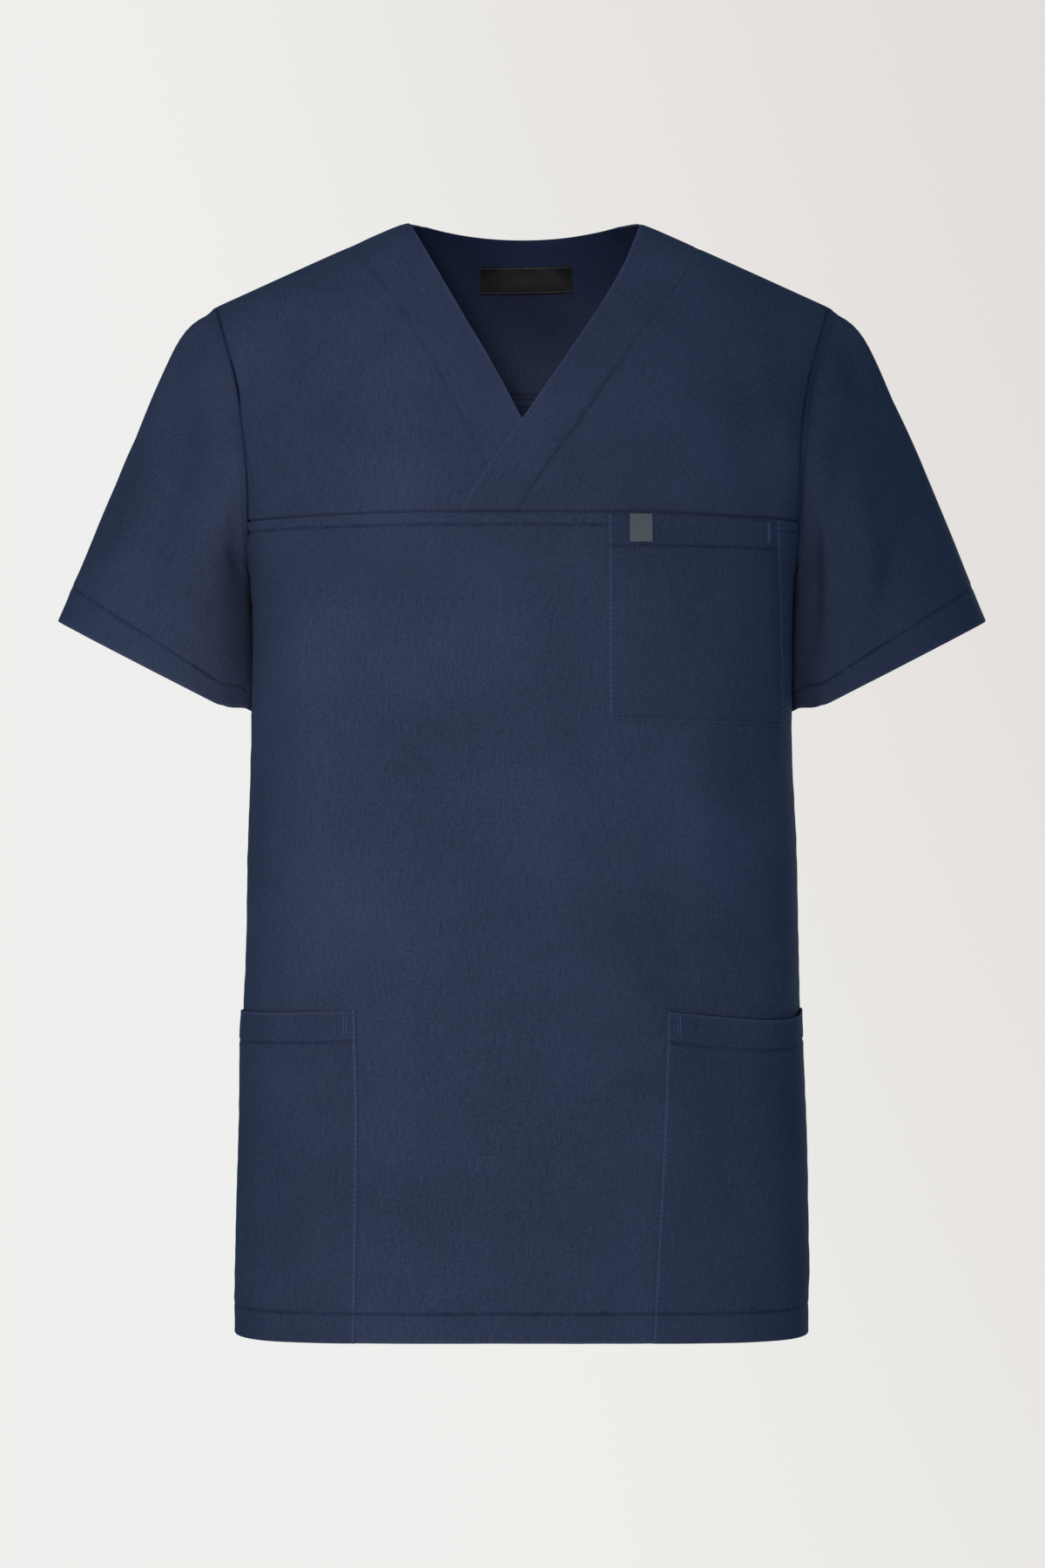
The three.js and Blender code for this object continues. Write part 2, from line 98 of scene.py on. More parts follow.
# Noise with spots of a size in mm.
def noise(tree, place, vector, size, detail=2.0, roughness=0.5, dimensions="3D"):
    node = addNode(tree, "ShaderNodeTexNoise", place,
                   {"Vector": vector, "Scale": 1 / (size * mm), "Detail": detail, "Roughness": roughness},
                   noise_dimensions=dimensions)
    return node.outputs["Fac"]


# Ends a material with its surface: relief from a height, and what its look says.
def finishCloth(tree, look, colour, height=None):
    sockets = {"Base Color": colour, "Roughness": look["rough"], "IOR": look["ior"],
               "Specular IOR Level": look["specular"], "Anisotropic": look.get("anisotropic", 0)}
    if "sheen" in look:
        sockets.update({"Sheen Weight": look["sheen"], "Sheen Roughness": 0.5,
                        "Sheen Tint": linear(look["sheenTint"])})
    if height:
        sockets["Normal"] = addNode(tree, "ShaderNodeBump", (350, -200),
                                    {"Strength": 0.5, "Distance": look["bump"] * mm,
                                     "Height": height}).outputs[0]
    finishMaterial(tree, addNode(tree, "ShaderNodeBsdfPrincipled", (600, 0), sockets))


# Polyester and cotton scrub twill, piece dyed and pressed: matt, with a fine diagonal wale, slubs
# along the warp, paler along folded edges as wear and a painted highlight, with painted shade down in
# the seams. The real wale is about 0.5 mm and is drawn at twice that, so that it can be seen.
twillLook = {
    "wale": 1.0,             # mm between wales
    "slubWide": 0.9,         # mm
    "slubLong": 14,          # mm
    "slubShare": 0.5,        # of slub against wale
    "fleck": 2.2,            # mm
    "fleckShare": 0.42,
    "cloud": 90,             # mm, slow change of shade from the dye bath
    "cloudShare": 0.25,
    "flat": 0.32,            # how much of the pattern's range is cut off at each end
    "rough": 0.82,
    "ior": 1.45,
    "sheen": 0.03,
    "sheenTint": "#8fa0c8",
    "specular": 0.12,
    "bump": 0.16,            # mm
    "paintedShadeColour": "#0b1330"   # painted shade mixed in where the attribute is below nought: down in seams, in grooves, inside the back neck
}
# Woven polyester satin, hot cut: dark, smooth, with fine threads that run across and a soft shine.
satinLook = {
    "thread": 0.5,           # mm between threads
    "fleck": 1.5,            # mm
    "fleckShare": 0.4,
    "rough": 0.5,
    "ior": 1.5,
    "specular": 0.15,
    "anisotropic": 0.4,
    "bump": 0.08             # mm
}
# Spun polyester sewing thread, two plies twisted: a little smoother and bluer than the cloth.
threadLook = {
    "fuzz": 0.8,             # mm
    "rough": 0.6,
    "ior": 1.5,
    "specular": 0.2
}
diagonalWave = 0.444         # a diagonal wave repeats every 0.444 / scale, measured across it
straightWave = 0.314         # and a level one every 0.314 / scale


def wovenTwill(name, dark, light, wornAndPaintedLight):
    material, tree = newMaterial(name)
    cut = addNode(tree, "ShaderNodeUVMap", (-1300, 0), uv_map="cut")
    where = addNode(tree, "ShaderNodeTexCoord", (-1300, -500))
    wale = addNode(tree, "ShaderNodeTexWave", (-1000, 200),
                   {"Vector": cut.outputs["UV"], "Scale": diagonalWave / (twillLook["wale"] * mm),
                    "Distortion": 0.6, "Detail": 1.0, "Detail Scale": 0.4},
                   wave_type="BANDS", bands_direction="DIAGONAL", wave_profile="SIN")
    stretch = addNode(tree, "ShaderNodeMapping", (-1150, -100),
                      {"Vector": cut.outputs["UV"],
                       "Scale": (1 / (twillLook["slubWide"] * mm), 1 / (twillLook["slubLong"] * mm), 1)})
    slub = addNode(tree, "ShaderNodeTexNoise", (-1000, -100),
                   {"Vector": stretch.outputs[0], "Scale": 1.0, "Detail": 2.0, "Roughness": 0.6},
                   noise_dimensions="2D")
    fleck = noise(tree, (-1000, -300), cut.outputs["UV"], twillLook["fleck"], 3.0, 0.65, "2D")
    cloud = noise(tree, (-1000, -500), where.outputs["Object"], twillLook["cloud"])
    grain = blend(tree, (-750, 100), twillLook["slubShare"], wale.outputs["Fac"], slub.outputs["Fac"])
    yarn = blend(tree, (-550, 0), twillLook["fleckShare"], grain, fleck)
    shade = blend(tree, (-350, -100), twillLook["cloudShare"], yarn, cloud)
    crisp = addNode(tree, "ShaderNodeMapRange", (-220, 0),
                    {"Value": shade, "From Min": twillLook["flat"], "From Max": 1 - twillLook["flat"]})
    dye = blend(tree, (-50, 100), crisp.outputs[0], linear(dark), linear(light), "RGBA")
    # Pale where the attribute is above nought, as wear and a painted highlight; painted shade where it is
    # below nought.
    wearAndPaintedLight = addNode(tree, "ShaderNodeAttribute", (-350, 350), attribute_name="wearAndPaintedLight")
    wornAndHighlit = blend(tree, (50, 150), wearAndPaintedLight.outputs["Fac"], dye, linear(wornAndPaintedLight), "RGBA")
    depth = addNode(tree, "ShaderNodeMath", (50, 350),
                    {0: wearAndPaintedLight.outputs["Fac"], 1: -1.0}, operation="MULTIPLY")
    paintedSeamShade = blend(tree, (250, 200), depth.outputs[0], wornAndHighlit, linear(twillLook["paintedShadeColour"]), "RGBA")
    finishCloth(tree, twillLook, paintedSeamShade, yarn)
    return material


def wovenSatin(name, dark, light):
    material, tree = newMaterial(name)
    cut = addNode(tree, "ShaderNodeUVMap", (-900, 0), uv_map="cut")
    ribs = addNode(tree, "ShaderNodeTexWave", (-650, 100),
                   {"Vector": cut.outputs["UV"], "Scale": straightWave / (satinLook["thread"] * mm),
                    "Distortion": 0.4, "Detail": 1.0},
                   wave_type="BANDS", bands_direction="Y", wave_profile="SIN")
    fleck = noise(tree, (-650, -150), cut.outputs["UV"], satinLook["fleck"], dimensions="2D")
    weave = blend(tree, (-400, 0), satinLook["fleckShare"], ribs.outputs["Fac"], fleck)
    dye = blend(tree, (-150, 100), weave, linear(dark), linear(light), "RGBA")
    finishCloth(tree, satinLook, dye, weave)
    return material


def spunThread(name, dark, light):
    material, tree = newMaterial(name)
    where = addNode(tree, "ShaderNodeTexCoord", (-700, 0))
    fuzz = noise(tree, (-450, 0), where.outputs["Object"], threadLook["fuzz"])
    dye = blend(tree, (-150, 0), fuzz, linear(dark), linear(light), "RGBA")
    finishCloth(tree, threadLook, dye)
    return material


print("materials")
# The third colour is the pale folded edge: wear, and a painted highlight.
bodyTwill = wovenTwill("pressedNavyTwill", "#1f263a", "#394158", "#4a526d")
pocketTwill = wovenTwill("pocketNavyTwill", "#1d2439", "#363e54", "#464e69")
labelSatin = wovenSatin("blackWovenSatin", "#050608", "#101216")
tagSatin = wovenSatin("greyWovenSatin", "#3a3c40", "#62656a")
# Painted highlight: a paler copy of the same navy thread, for the pocket edges and bar tacks.
highlitNavyThread = spunThread("navyThreadPaintedHighlight", "#3a4466", "#55608a")
# Painted shade: a darker copy of the same navy thread, as if down in its stitch holes, for the other rows.
shadedNavyThread = spunThread("navyThreadPaintedShade", "#10152a", "#28304e")
labelThread = spunThread("greyLabelThread", "#3c4048", "#70757f")


def smooth(a, b, t):
    t = np.clip((np.asarray(t, float) - a) / (b - a), 0.0, 1.0)
    return t * t * (3 - 2 * t)


def mix(a, b, t):
    return a + (b - a) * t


def bell(distance, wide):
    return np.exp(-(distance / wide) ** 2)


def unit(vectors):
    return vectors / np.maximum(np.linalg.norm(vectors, axis=-1, keepdims=True), 1e-9)


# Smooth reading of one column of a table between its rows.
def readTable(table, column, at):
    stops = np.array(table["drop"], float)
    values = np.array(table[column], float)
    last = len(stops) - 1
    before = np.maximum(np.arange(last + 1) - 1, 0)
    after = np.minimum(np.arange(last + 1) + 1, last)
    slopes = (values[after] - values[before]) / (stops[after] - stops[before])
    at = np.clip(at, stops[0], stops[-1])
    k = np.clip(np.searchsorted(stops, at, side="left") - 1, 0, last - 1)
    span = stops[k + 1] - stops[k]
    t = (at - stops[k]) / span
    rise = t * t * (3 - 2 * t)
    return (values[k] * (1 - rise) + values[k + 1] * rise
            + slopes[k] * span * t * (1 - t) ** 2 - slopes[k + 1] * span * t * t * (1 - t))


# The body form: drops are below the neck points. half is half the width, widest the Y of the widest
# line, front and back the depth before and behind it, and the last two how square the section is.
bodyForm = {
    "hemDrop": 744, "underarmDrop": 245, "frontYokeDrop": 203, "backYokeDrop": 116,
    "neckHalf": 76.5, "backNeckDip": 5.3, "backNeckLift": 47, "collarHollow": 0.45,
    "collarReach": 130, "shoulderPitch": 0.452, "shoulderStart": 79.5, "shoulderRounding": 3,
    "cloth": 1.2, "hemCloth": 2.0, "hemDepth": 20
}
sections = {
    "drop": [0, 60, 122, 203, 245, 330, 427, 522, 640, 744],
    "half": [222, 221, 216, 191.5, 182, 180.8, 183.4, 185.8, 188.2, 189.8],
    "widest": [0, -1, -4, -11, -14, -15, -15, -15, -15, -15],
    "front": [118, 118, 117, 114, 113, 113, 113, 114, 117, 119],
    "back": [108, 110, 114, 122, 127, 128, 126, 126, 128, 130],
    "squareFront": [2.1, 2.1, 2.2, 2.65, 3, 3.2, 3.4, 3.6, 4, 4.6],
    "squareBack": [2.1, 2.1, 2.2, 2.4, 2.6, 2.8, 3, 3.3, 3.6, 3.8]
}
armhole = {front: {"tip": 0.749, "middle": 0.632}, back: {"tip": 0.749, "middle": 0.66}}
hemDrop = bodyForm["hemDrop"]
underarmDrop = bodyForm["underarmDrop"]
frontYokeDrop = bodyForm["frontYokeDrop"]
backYokeDrop = bodyForm["backYokeDrop"]
cloth = bodyForm["cloth"]
sideTurn = 1 - 0.15 / 190      # side seams stop just short of the widest line
depthColumn = {front: "front", back: "back"}
squareColumn = {front: "squareFront", back: "squareBack"}


# Level: 0 on the shoulder ridge, 1 at the underarm, 2 at the hem.
def dropAt(level):
    level = np.asarray(level, float)
    upper = underarmDrop * (1 - np.cos(np.clip(level, 0, 1) * math.pi / 2))
    return np.where(level <= 1, upper, underarmDrop + (hemDrop - underarmDrop) * (level - 1))


def levelAt(drop):
    drop = np.asarray(drop, float)
    upper = np.arccos(1 - np.clip(drop, 0, underarmDrop) / underarmDrop) * 2 / math.pi
    return np.where(drop <= underarmDrop, upper, 1 + (drop - underarmDrop) / (hemDrop - underarmDrop))


def bodyPoint(face, turn, level):
    drop = dropAt(level)
    half = readTable(sections, "half", drop)
    widest = readTable(sections, "widest", drop)
    depth = readTable(sections, depthColumn[face], drop)
    square = readTable(sections, squareColumn[face], drop)
    angle = np.abs(turn) * math.pi / 2
    s = np.sin(angle)
    c = np.maximum(np.cos(angle), 0)
    bulk = (s ** square + c ** square) ** (1 / square)
    across = half * s / bulk
    left = 1 - np.clip(drop / underarmDrop, 0, 1)
    if face == front:
        hollow = bodyForm["collarHollow"] * left ** 2
        hollow = hollow * np.exp(-(across / bodyForm["collarReach"]) ** 4)
        arch = np.sqrt(1 - left ** 2) * (1 - hollow)
    else:
        inside = np.clip(1 - (across / bodyForm["neckHalf"]) ** 2, 0, 1) ** 1.5
        raised = drop + bodyForm["backNeckLift"] * left ** 2 * inside
        arch = np.sqrt(1 - (1 - np.clip(raised / underarmDrop, 0, 1)) ** 2)
    past = (across - bodyForm["shoulderStart"]) / 2
    fall = bodyForm["shoulderPitch"] * (past + np.hypot(past, bodyForm["shoulderRounding"]))
    share = np.where(drop < underarmDrop, 0.5 + 0.5 * np.cos(math.pi * drop / underarmDrop), 0)
    x = np.where(np.asarray(turn) < 0, -across, across)
    return np.stack([x, widest + face * depth * arch * c / bulk, -drop - share * fall], -1)


def bodyNormal(face, turn, level):
    step = 0.002
    along = bodyPoint(face, turn, level + step) - bodyPoint(face, turn, np.maximum(level - step, 0))
    sideways = bodyPoint(face, np.minimum(turn + step, 1), level)
    sideways = sideways - bodyPoint(face, np.maximum(turn - step, -1), level)
    return unit(np.cross(along, sideways)) * -face


# The turn at which a section lies a given distance from the centre line.
def turnAt(face, x, drop):
    half = readTable(sections, "half", drop)
    square = readTable(sections, squareColumn[face], drop)
    share = np.minimum(np.abs(x) / half, 0.9999)
    rest = (1 - share ** square) ** (1 / square)
    return np.sign(x) * np.arctan2(share, rest) * 2 / math.pi


def armholeTurn(face, drop):
    side = armhole[face]
    below = (np.asarray(drop, float) - underarmDrop / 2) / (underarmDrop / 2)
    upper = side["middle"] + (side["tip"] - side["middle"]) * below ** 2
    lower = 1 - (1 - side["middle"]) * np.sqrt(np.maximum(1 - below ** 2, 0))
    return np.minimum(np.where(below < 0, upper, lower), sideTurn)


# Stops along a length: close together near the marks, further apart between them.
meshSteps = {"coarse": 3.4, "fine": 1.1, "reach": 7}


def gradedStops(length, marks, coarse=None):
    coarse = coarse or meshSteps["coarse"]
    s = np.linspace(0, length, 3000)
    near = np.min([np.abs(s - mark) for mark in marks], axis=0)
    step = mix(meshSteps["fine"], coarse, smooth(1.5, meshSteps["reach"], near))
    total = np.concatenate([[0], np.cumsum((s[1] - s[0]) / step[1:])])
    count = int(math.ceil(total[-1]))
    return np.interp(np.linspace(0, total[-1], count + 1), total, s)


# Rows of a panel as drops, spaced by real length down the line at one turn.
def rowDrops(face, turn, top, bottom, marks, coarse=None):
    levels = np.linspace(levelAt(top), levelAt(bottom), 1500)
    line = bodyPoint(face, np.full_like(levels, turn), levels)
    length = np.concatenate([[0], np.cumsum(np.linalg.norm(np.diff(line, axis=0), axis=1))])
    stops = [np.interp(levelAt(mark), levels, length) for mark in marks]
    rows = dropAt(np.interp(gradedStops(length[-1], stops, coarse), length, levels))
    rows[0] = top
    rows[-1] = bottom
    return rows


# A panel's grid: points and normals of its middle, for rows of drops and shares between its sides.
def layPanel(face, drops, sides, left, right):
    drop = drops if drops.ndim == 2 else np.repeat(drops[:, None], len(sides), 1)
    side = np.repeat(sides[None, :], drop.shape[0], 0)
    turn = mix(left(drop), right(drop), side)
    level = levelAt(drop)
    point = bodyPoint(face, turn, level)
    return {"face": face, "point": point, "normal": bodyNormal(face, turn, level),
            "x": point[..., 0], "drop": drop, "side": side}


# How cloth's colour shows wear and painted light along its lines. Sizes are in mm, the rest are shares of
# the dye.
edgeLook = {
    "wearAndPaintedLight": 0.3, "paleEdgeWide": 1.6,                             # pale along a folded edge: wear, and a painted highlight
    "paintedSeamShade": 0.5, "paintedSeamShadeWide": 1.5,                           # painted shade down in a seam
    "paintedGrooveShade": 1.05, "grooveMost": 0.6, "grooveReach": 6.0   # painted shade in a narrow groove
}
rimSteps = 4                 # steps in which a cut edge is rounded over


# Painted shade for a narrow groove: how far each row lies below the mean of the rows two steps away,
# counted only where the rows stand close together.
def grooves(lift, down):
    before = np.maximum(np.arange(len(lift)) - 2, 0)
    after = np.minimum(np.arange(len(lift)) + 2, len(lift) - 1)
    deep = (lift[before] + lift[after]) / 2 - lift
    deep[:2] = 0
    deep[-2:] = 0
    return np.maximum(deep, 0) * bell(down[after] - down[before], edgeLook["grooveReach"])


# Running lengths across and down a grid of points.
def gridLengths(point):
    rows, columns = point.shape[:2]
    across = np.concatenate([np.zeros((rows, 1)),
                             np.cumsum(np.linalg.norm(np.diff(point, axis=1), axis=2), axis=1)], 1)
    down = np.concatenate([np.zeros((1, columns)),
                           np.cumsum(np.linalg.norm(np.diff(point, axis=0), axis=2), axis=0)], 0)
    return across, down


# Which way the edges face, and how near each point is to a folded side and to a side with painted seam
# shade.
def readEdges(point, across, down, ring, butt, folded, paintedShadeSides):
    edgeNear = np.full(across.shape, 1e3)
    shadedSeamNear = np.full(across.shape, 1e3)
    outward = np.zeros_like(point)
    sides = {"top": (0, slice(None)), "bottom": (-1, slice(None))}
    inner = {"top": (1, slice(None)), "bottom": (-2, slice(None))}
    if not ring:
        sides.update({"left": (slice(None), 0), "right": (slice(None), -1)})
        inner.update({"left": (slice(None), 1), "right": (slice(None), -2)})
    distance = {"top": down, "bottom": down[-1:] - down,
                "left": across, "right": across[:, -1:] - across}
    for side, cells in sides.items():
        if side in paintedShadeSides:
            shadedSeamNear = np.minimum(shadedSeamNear, distance[side])
        if side in butt:
            continue
        outward[cells] += unit(point[cells] - point[inner[side]])
        if side in folded:
            edgeNear = np.minimum(edgeNear, distance[side])
    outward = np.where(np.linalg.norm(outward, axis=-1, keepdims=True) > 0.1, unit(outward), 0)
    return outward, edgeNear, shadedSeamNear


# Rounds one rim over, from the outer layer to the inner one; first is the next free point number.
def roundRim(loop, outer, inner, outward, uv, first):
    centre = (outer[loop] + inner[loop]) / 2
    rise = (outer[loop] - inner[loop]) / 2
    reach = np.linalg.norm(rise, axis=1, keepdims=True)
    points = []
    strips = [loop]
    for k in range(1, rimSteps):
        angle = math.pi * k / rimSteps
        points.append(centre + rise * math.cos(angle) + outward[loop] * reach * math.sin(angle))
        strips.append(np.arange(len(loop)) + first)
        first += len(loop)
    strips.append(loop + len(outer))
    here, following = uv[loop], np.roll(uv[loop], -1, 0)
    faces = [np.stack([upper, np.roll(upper, -1), np.roll(lower, -1), lower], -1)
             for upper, lower in zip(strips[:-1], strips[1:])]
    uvs = [np.stack([here, following, following, here], 1)] * len(faces)
    return points, faces, uvs


# Cloth between an outer and an inner layer of a grid, its edges rounded over as folds, or cut square
# on the sides named as butt, where it meets the next piece flush. Sides named as folded are painted
# pale along the edge, as wear and a painted highlight, and the sides given for seam shade get painted
# shade down in their seam.
def buildCloth(name, grid, lift, material, thickness=cloth, butt=(), ring=False, folded=(), paintedShadeSides=(),
               paintedInnerShade=0):
    point = grid["point"].copy()
    normal = grid["normal"]
    rows, columns = point.shape[:2]
    thickness = np.broadcast_to(thickness, (rows, columns))
    across, down = gridLengths(point)
    outward, edgeNear, shadedSeamNear = readEdges(point, across, down, ring, butt, folded, paintedShadeSides)
    point -= outward * thickness[..., None] / 2
    outer = (point + normal * (lift + cloth / 2)[..., None]).reshape(-1, 3)
    inner = (point + normal * (lift + cloth / 2 - thickness)[..., None]).reshape(-1, 3)
    # Pale along folded edges as wear and a painted highlight; painted shade down in seams and narrow
    # grooves.
    wornAndPaintedLight = bell(edgeNear, edgeLook["paleEdgeWide"]) * edgeLook["wearAndPaintedLight"]
    wornAndPaintedLight -= bell(shadedSeamNear, edgeLook["paintedSeamShadeWide"]) * edgeLook["paintedSeamShade"]
    wornAndPaintedLight -= np.minimum(edgeLook["paintedGrooveShade"] * grooves(lift, down), edgeLook["grooveMost"])

    span = columns if ring else columns - 1
    index = np.arange(rows * columns).reshape(rows, columns)
    j, i = np.meshgrid(np.arange(rows - 1), np.arange(span), indexing="ij")
    nextI = (i + 1) % columns
    corners = [index[j, i], index[j + 1, i], index[j + 1, nextI], index[j, nextI]]
    quads = np.stack(corners, -1).reshape(-1, 4)
    faces = [quads, quads[:, ::-1] + rows * columns]
    if ring:
        closing = np.linalg.norm(point[:, 0] - point[:, -1], axis=1)
        across = np.concatenate([across, (across[:, -1] + closing)[:, None]], 1)
        down = np.concatenate([down, down[:, :1]], 1)
    uvAt = np.stack([across, down], -1)
    gridUv = np.stack([uvAt[j, i], uvAt[j + 1, i], uvAt[j + 1, i + 1], uvAt[j, i + 1]], -2)
    gridUv = gridUv.reshape(-1, 4, 2)
    uvs = [gridUv, gridUv[:, ::-1]]

    # The rim: one loop round an open panel, or one at each end of a ring
    if ring:
        loops = [index[0], index[-1][::-1]]
    else:
        loops = [np.concatenate([index[0, :-1], index[:-1, -1], index[-1, :0:-1], index[:0:-1, 0]])]
    flatUv = uvAt[:, :columns].reshape(-1, 2)
    flatWearAndPaintedLight = wornAndPaintedLight.reshape(-1)
    points = [outer, inner]
    # The inner layer gets painted shade as well, where it is given.
    wearAndPaintedLights = [flatWearAndPaintedLight, (wornAndPaintedLight - paintedInnerShade).reshape(-1)]
    for loop in loops:
        first = sum(len(part) for part in points)
        rimPoints, rimFaces, rimUvs = roundRim(loop, outer, inner, outward.reshape(-1, 3), flatUv, first)
        points += rimPoints
        faces += rimFaces
        uvs += rimUvs
        wearAndPaintedLights += [flatWearAndPaintedLight[loop]] * len(rimPoints)
    points = np.concatenate(points) * mm
    faces = np.concatenate(faces)
    uvs = np.concatenate(uvs) * mm
    corner = points[faces]
    volume = np.einsum("ij,ij->i", corner[:, 0], np.cross(corner[:, 1], corner[:, 2])).sum()
    volume += np.einsum("ij,ij->i", corner[:, 0], np.cross(corner[:, 2], corner[:, 3])).sum()
    if volume < 0:
        faces = faces[:, ::-1]
        uvs = uvs[:, ::-1]
    return addMesh(name, points, faces, uvs, np.concatenate(wearAndPaintedLights), material)


def addMesh(name, points, faces, uvs, wearAndPaintedLight, material):
    mesh = bpy.data.meshes.new(name)
    mesh.from_pydata(points.tolist(), [], faces.tolist())
    mesh.uv_layers.new(name="cut").data.foreach_set("uv", uvs.astype(np.float32).ravel())
    mesh.attributes.new("wearAndPaintedLight", "FLOAT", "POINT").data.foreach_set("value", wearAndPaintedLight.astype(np.float32))
    mesh.polygons.foreach_set("use_smooth", np.ones(len(faces), bool))
    mesh.set_sharp_from_angle(angle=math.radians(62))
    mesh.materials.append(material)
    mesh.update()
    piece = bpy.data.objects.new(name, mesh)
    bpy.context.scene.collection.objects.link(piece)
    return piece


# Slow uneven waves over a flat pattern, from a few sine waves with seeded directions.
def unevenWaves(u, v, seed, length, waves=7):
    draw = np.random.default_rng(seed)
    total = np.zeros(np.broadcast(u, v).shape)
    for _ in range(waves):
        angle, phase = draw.uniform(0, 2 * math.pi, 2)
        pitch = length * draw.uniform(0.6, 1.7)
        total = total + np.sin((u * math.cos(angle) + v * math.sin(angle)) * 2 * math.pi / pitch + phase)
    return total / math.sqrt(waves)


# Creases lie along straight or bowed lines in x and drop; rise is negative for a trough.
def creaseField(u, v, table):
    total = np.zeros(np.broadcast(u, v).shape)
    for startU, startV, endU, endV, bow, width, rise in table:
        length = math.hypot(endU - startU, endV - startV)
        alongU, alongV = (endU - startU) / length, (endV - startV) / length
        t = ((u - startU) * alongU + (v - startV) * alongV) / length
        off = (u - startU) * alongV - (v - startV) * alongU - bow * np.sin(math.pi * np.clip(t, 0, 1))
        taper = smooth(-0.12, 0.3, t) * (1 - smooth(0.65, 1.12, t))
        total = total + rise * bell(off, width) * taper
    return total


foldDepth = 1.5              # how much the folds below are deepened
# Folds of the body, as start x and drop, end x and drop, bow, width and rise.
bodyFolds = {front: [
    (-94, 60, -132, 132, -6, 13, -2.3),
    (-150, 96, -166, 186, 6, 14, 1.8),
    (-188, 44, -184, 92, 3, 8, -1.8),
    (-60, 100, -92, 190, 4, 16, 1.2),
    (-50, 118, -45, 184, 2, 9, -1.2),
    (-46, 197, 2, 199, -1, 4.5, -0.6),
    (143, 58, 149, 188, 4, 14, -2.1),
    (174, 112, 180, 194, 3, 10, 1.7),
    (60, 128, 68, 192, -3, 16, 1.2),
    (112, 60, 100, 150, -5, 18, 1.2),
    (-151, 224, -146, 400, 5, 15, 2.0),
    (-120, 236, -117, 520, -6, 14, -1.7),
    (-86, 290, -80, 570, 7, 18, 1.8),
    (-58, 240, -52, 430, 4, 18, -1.0),
    (70, 470, 96, 700, 12, 26, 1.8),
    (98, 390, 92, 520, 5, 15, -1.5),
    (122, 380, 114, 510, -4, 14, 1.4),
    (150, 350, 152, 520, 5, 18, -1.9),
    (98, 350, 112, 386, 2, 12, 1.0),
    (57, 345, 58, 455, 1, 4, -0.6),
    (20, 240, 34, 420, -8, 34, 1.3),
    (-30, 560, -16, 735, 5, 26, -1.5),
    (-74, 590, -60, 736, -4, 18, 1.3),
    (30, 600, 44, 738, 5, 16, 1.2),
    (-148, 560, -140, 720, 6, 16, 1.4),
    (138, 560, 142, 728, -6, 15, -1.5),
    (82, 505, 108, 533, 2, 4, -0.8),
    (80, 524, 103, 535, -2, 3.6, 0.6),
    (84, 549, 106, 531, 2, 4, -0.7)
], back: [
    (-92, 30, -150, 150, 8, 22, 1.8),
    (104, 34, 148, 128, -8, 20, -1.6),
    (-120, 130, -142, 330, 10, 24, 2.0),
    (112, 128, 132, 300, -9, 26, 1.9),
    (-60, 150, -48, 420, 8, 30, -1.6),
    (48, 140, 66, 380, -10, 32, 1.5),
    (-134, 380, -118, 640, -8, 26, -2.0),
    (128, 350, 120, 600, 10, 24, -2.0),
    (-30, 420, -20, 700, 6, 36, 1.8),
    (64, 460, 82, 735, -7, 28, 1.7),
    (-88, 520, -96, 738, 5, 24, 1.5),
    (14, 300, 22, 470, 4, 26, -1.1)
]}
# Ripples over the whole cloth, a slow one drawn out down the body and a fine one drawn out across.
ripples = {
    front: {"seed": 11, "slowRise": 0.42, "slowLength": 60, "fineRise": 0.12, "fineLength": 17},
    back: {"seed": 21, "slowRise": 0.45, "slowLength": 65, "fineRise": 0.1, "fineLength": 18},
    "drawnDown": 0.5, "drawnAcross": 0.35, "fadeIn": 14
}
# Level ripples at the waist, a little to the wearer's left of the middle.
waistRipple = {"x": 24, "drop": 457, "wide": 60, "high": 32, "rise": 0.22, "pitch": 12, "bend": 19}


# Beside an armhole seam the body's cloth dips to the seam and stands up softly inside it.
armholeSeam = {
    "dip": 0.55, "dipWide": 2.2, "ridge": 0.8, "ridgeAt": 11, "ridgeWide": 6,
    "uneven": 0.3, "unevenLength": 50, "seed": 37,
    "endFrom": 40, "endTo": 4              # mm above the underarm over which it ends
}


def besideArmhole(face, x, drop):
    edge = np.abs(bodyPoint(face, armholeTurn(face, drop), levelAt(drop))[..., 0])
    near = np.maximum(edge - np.abs(x), 0)
    above = 1 - smooth(underarmDrop - armholeSeam["endFrom"], underarmDrop - armholeSeam["endTo"], drop)
    wave = unevenWaves(drop, x * 0, armholeSeam["seed"], armholeSeam["unevenLength"], 4)
    uneven = 1 + armholeSeam["uneven"] * wave
    ridge = armholeSeam["ridge"] * uneven * bell(near - armholeSeam["ridgeAt"], armholeSeam["ridgeWide"])
    return above * (ridge - armholeSeam["dip"] * bell(near, armholeSeam["dipWide"]))


def waistWaves(x, drop):
    spot = waistRipple
    near = bell(x - spot["x"], spot["wide"]) * bell(drop - spot["drop"], spot["high"])
    phase = drop * 2 * math.pi / spot["pitch"] + 0.6 * np.sin(x / spot["bend"])
    return near * spot["rise"] * np.sin(phase)


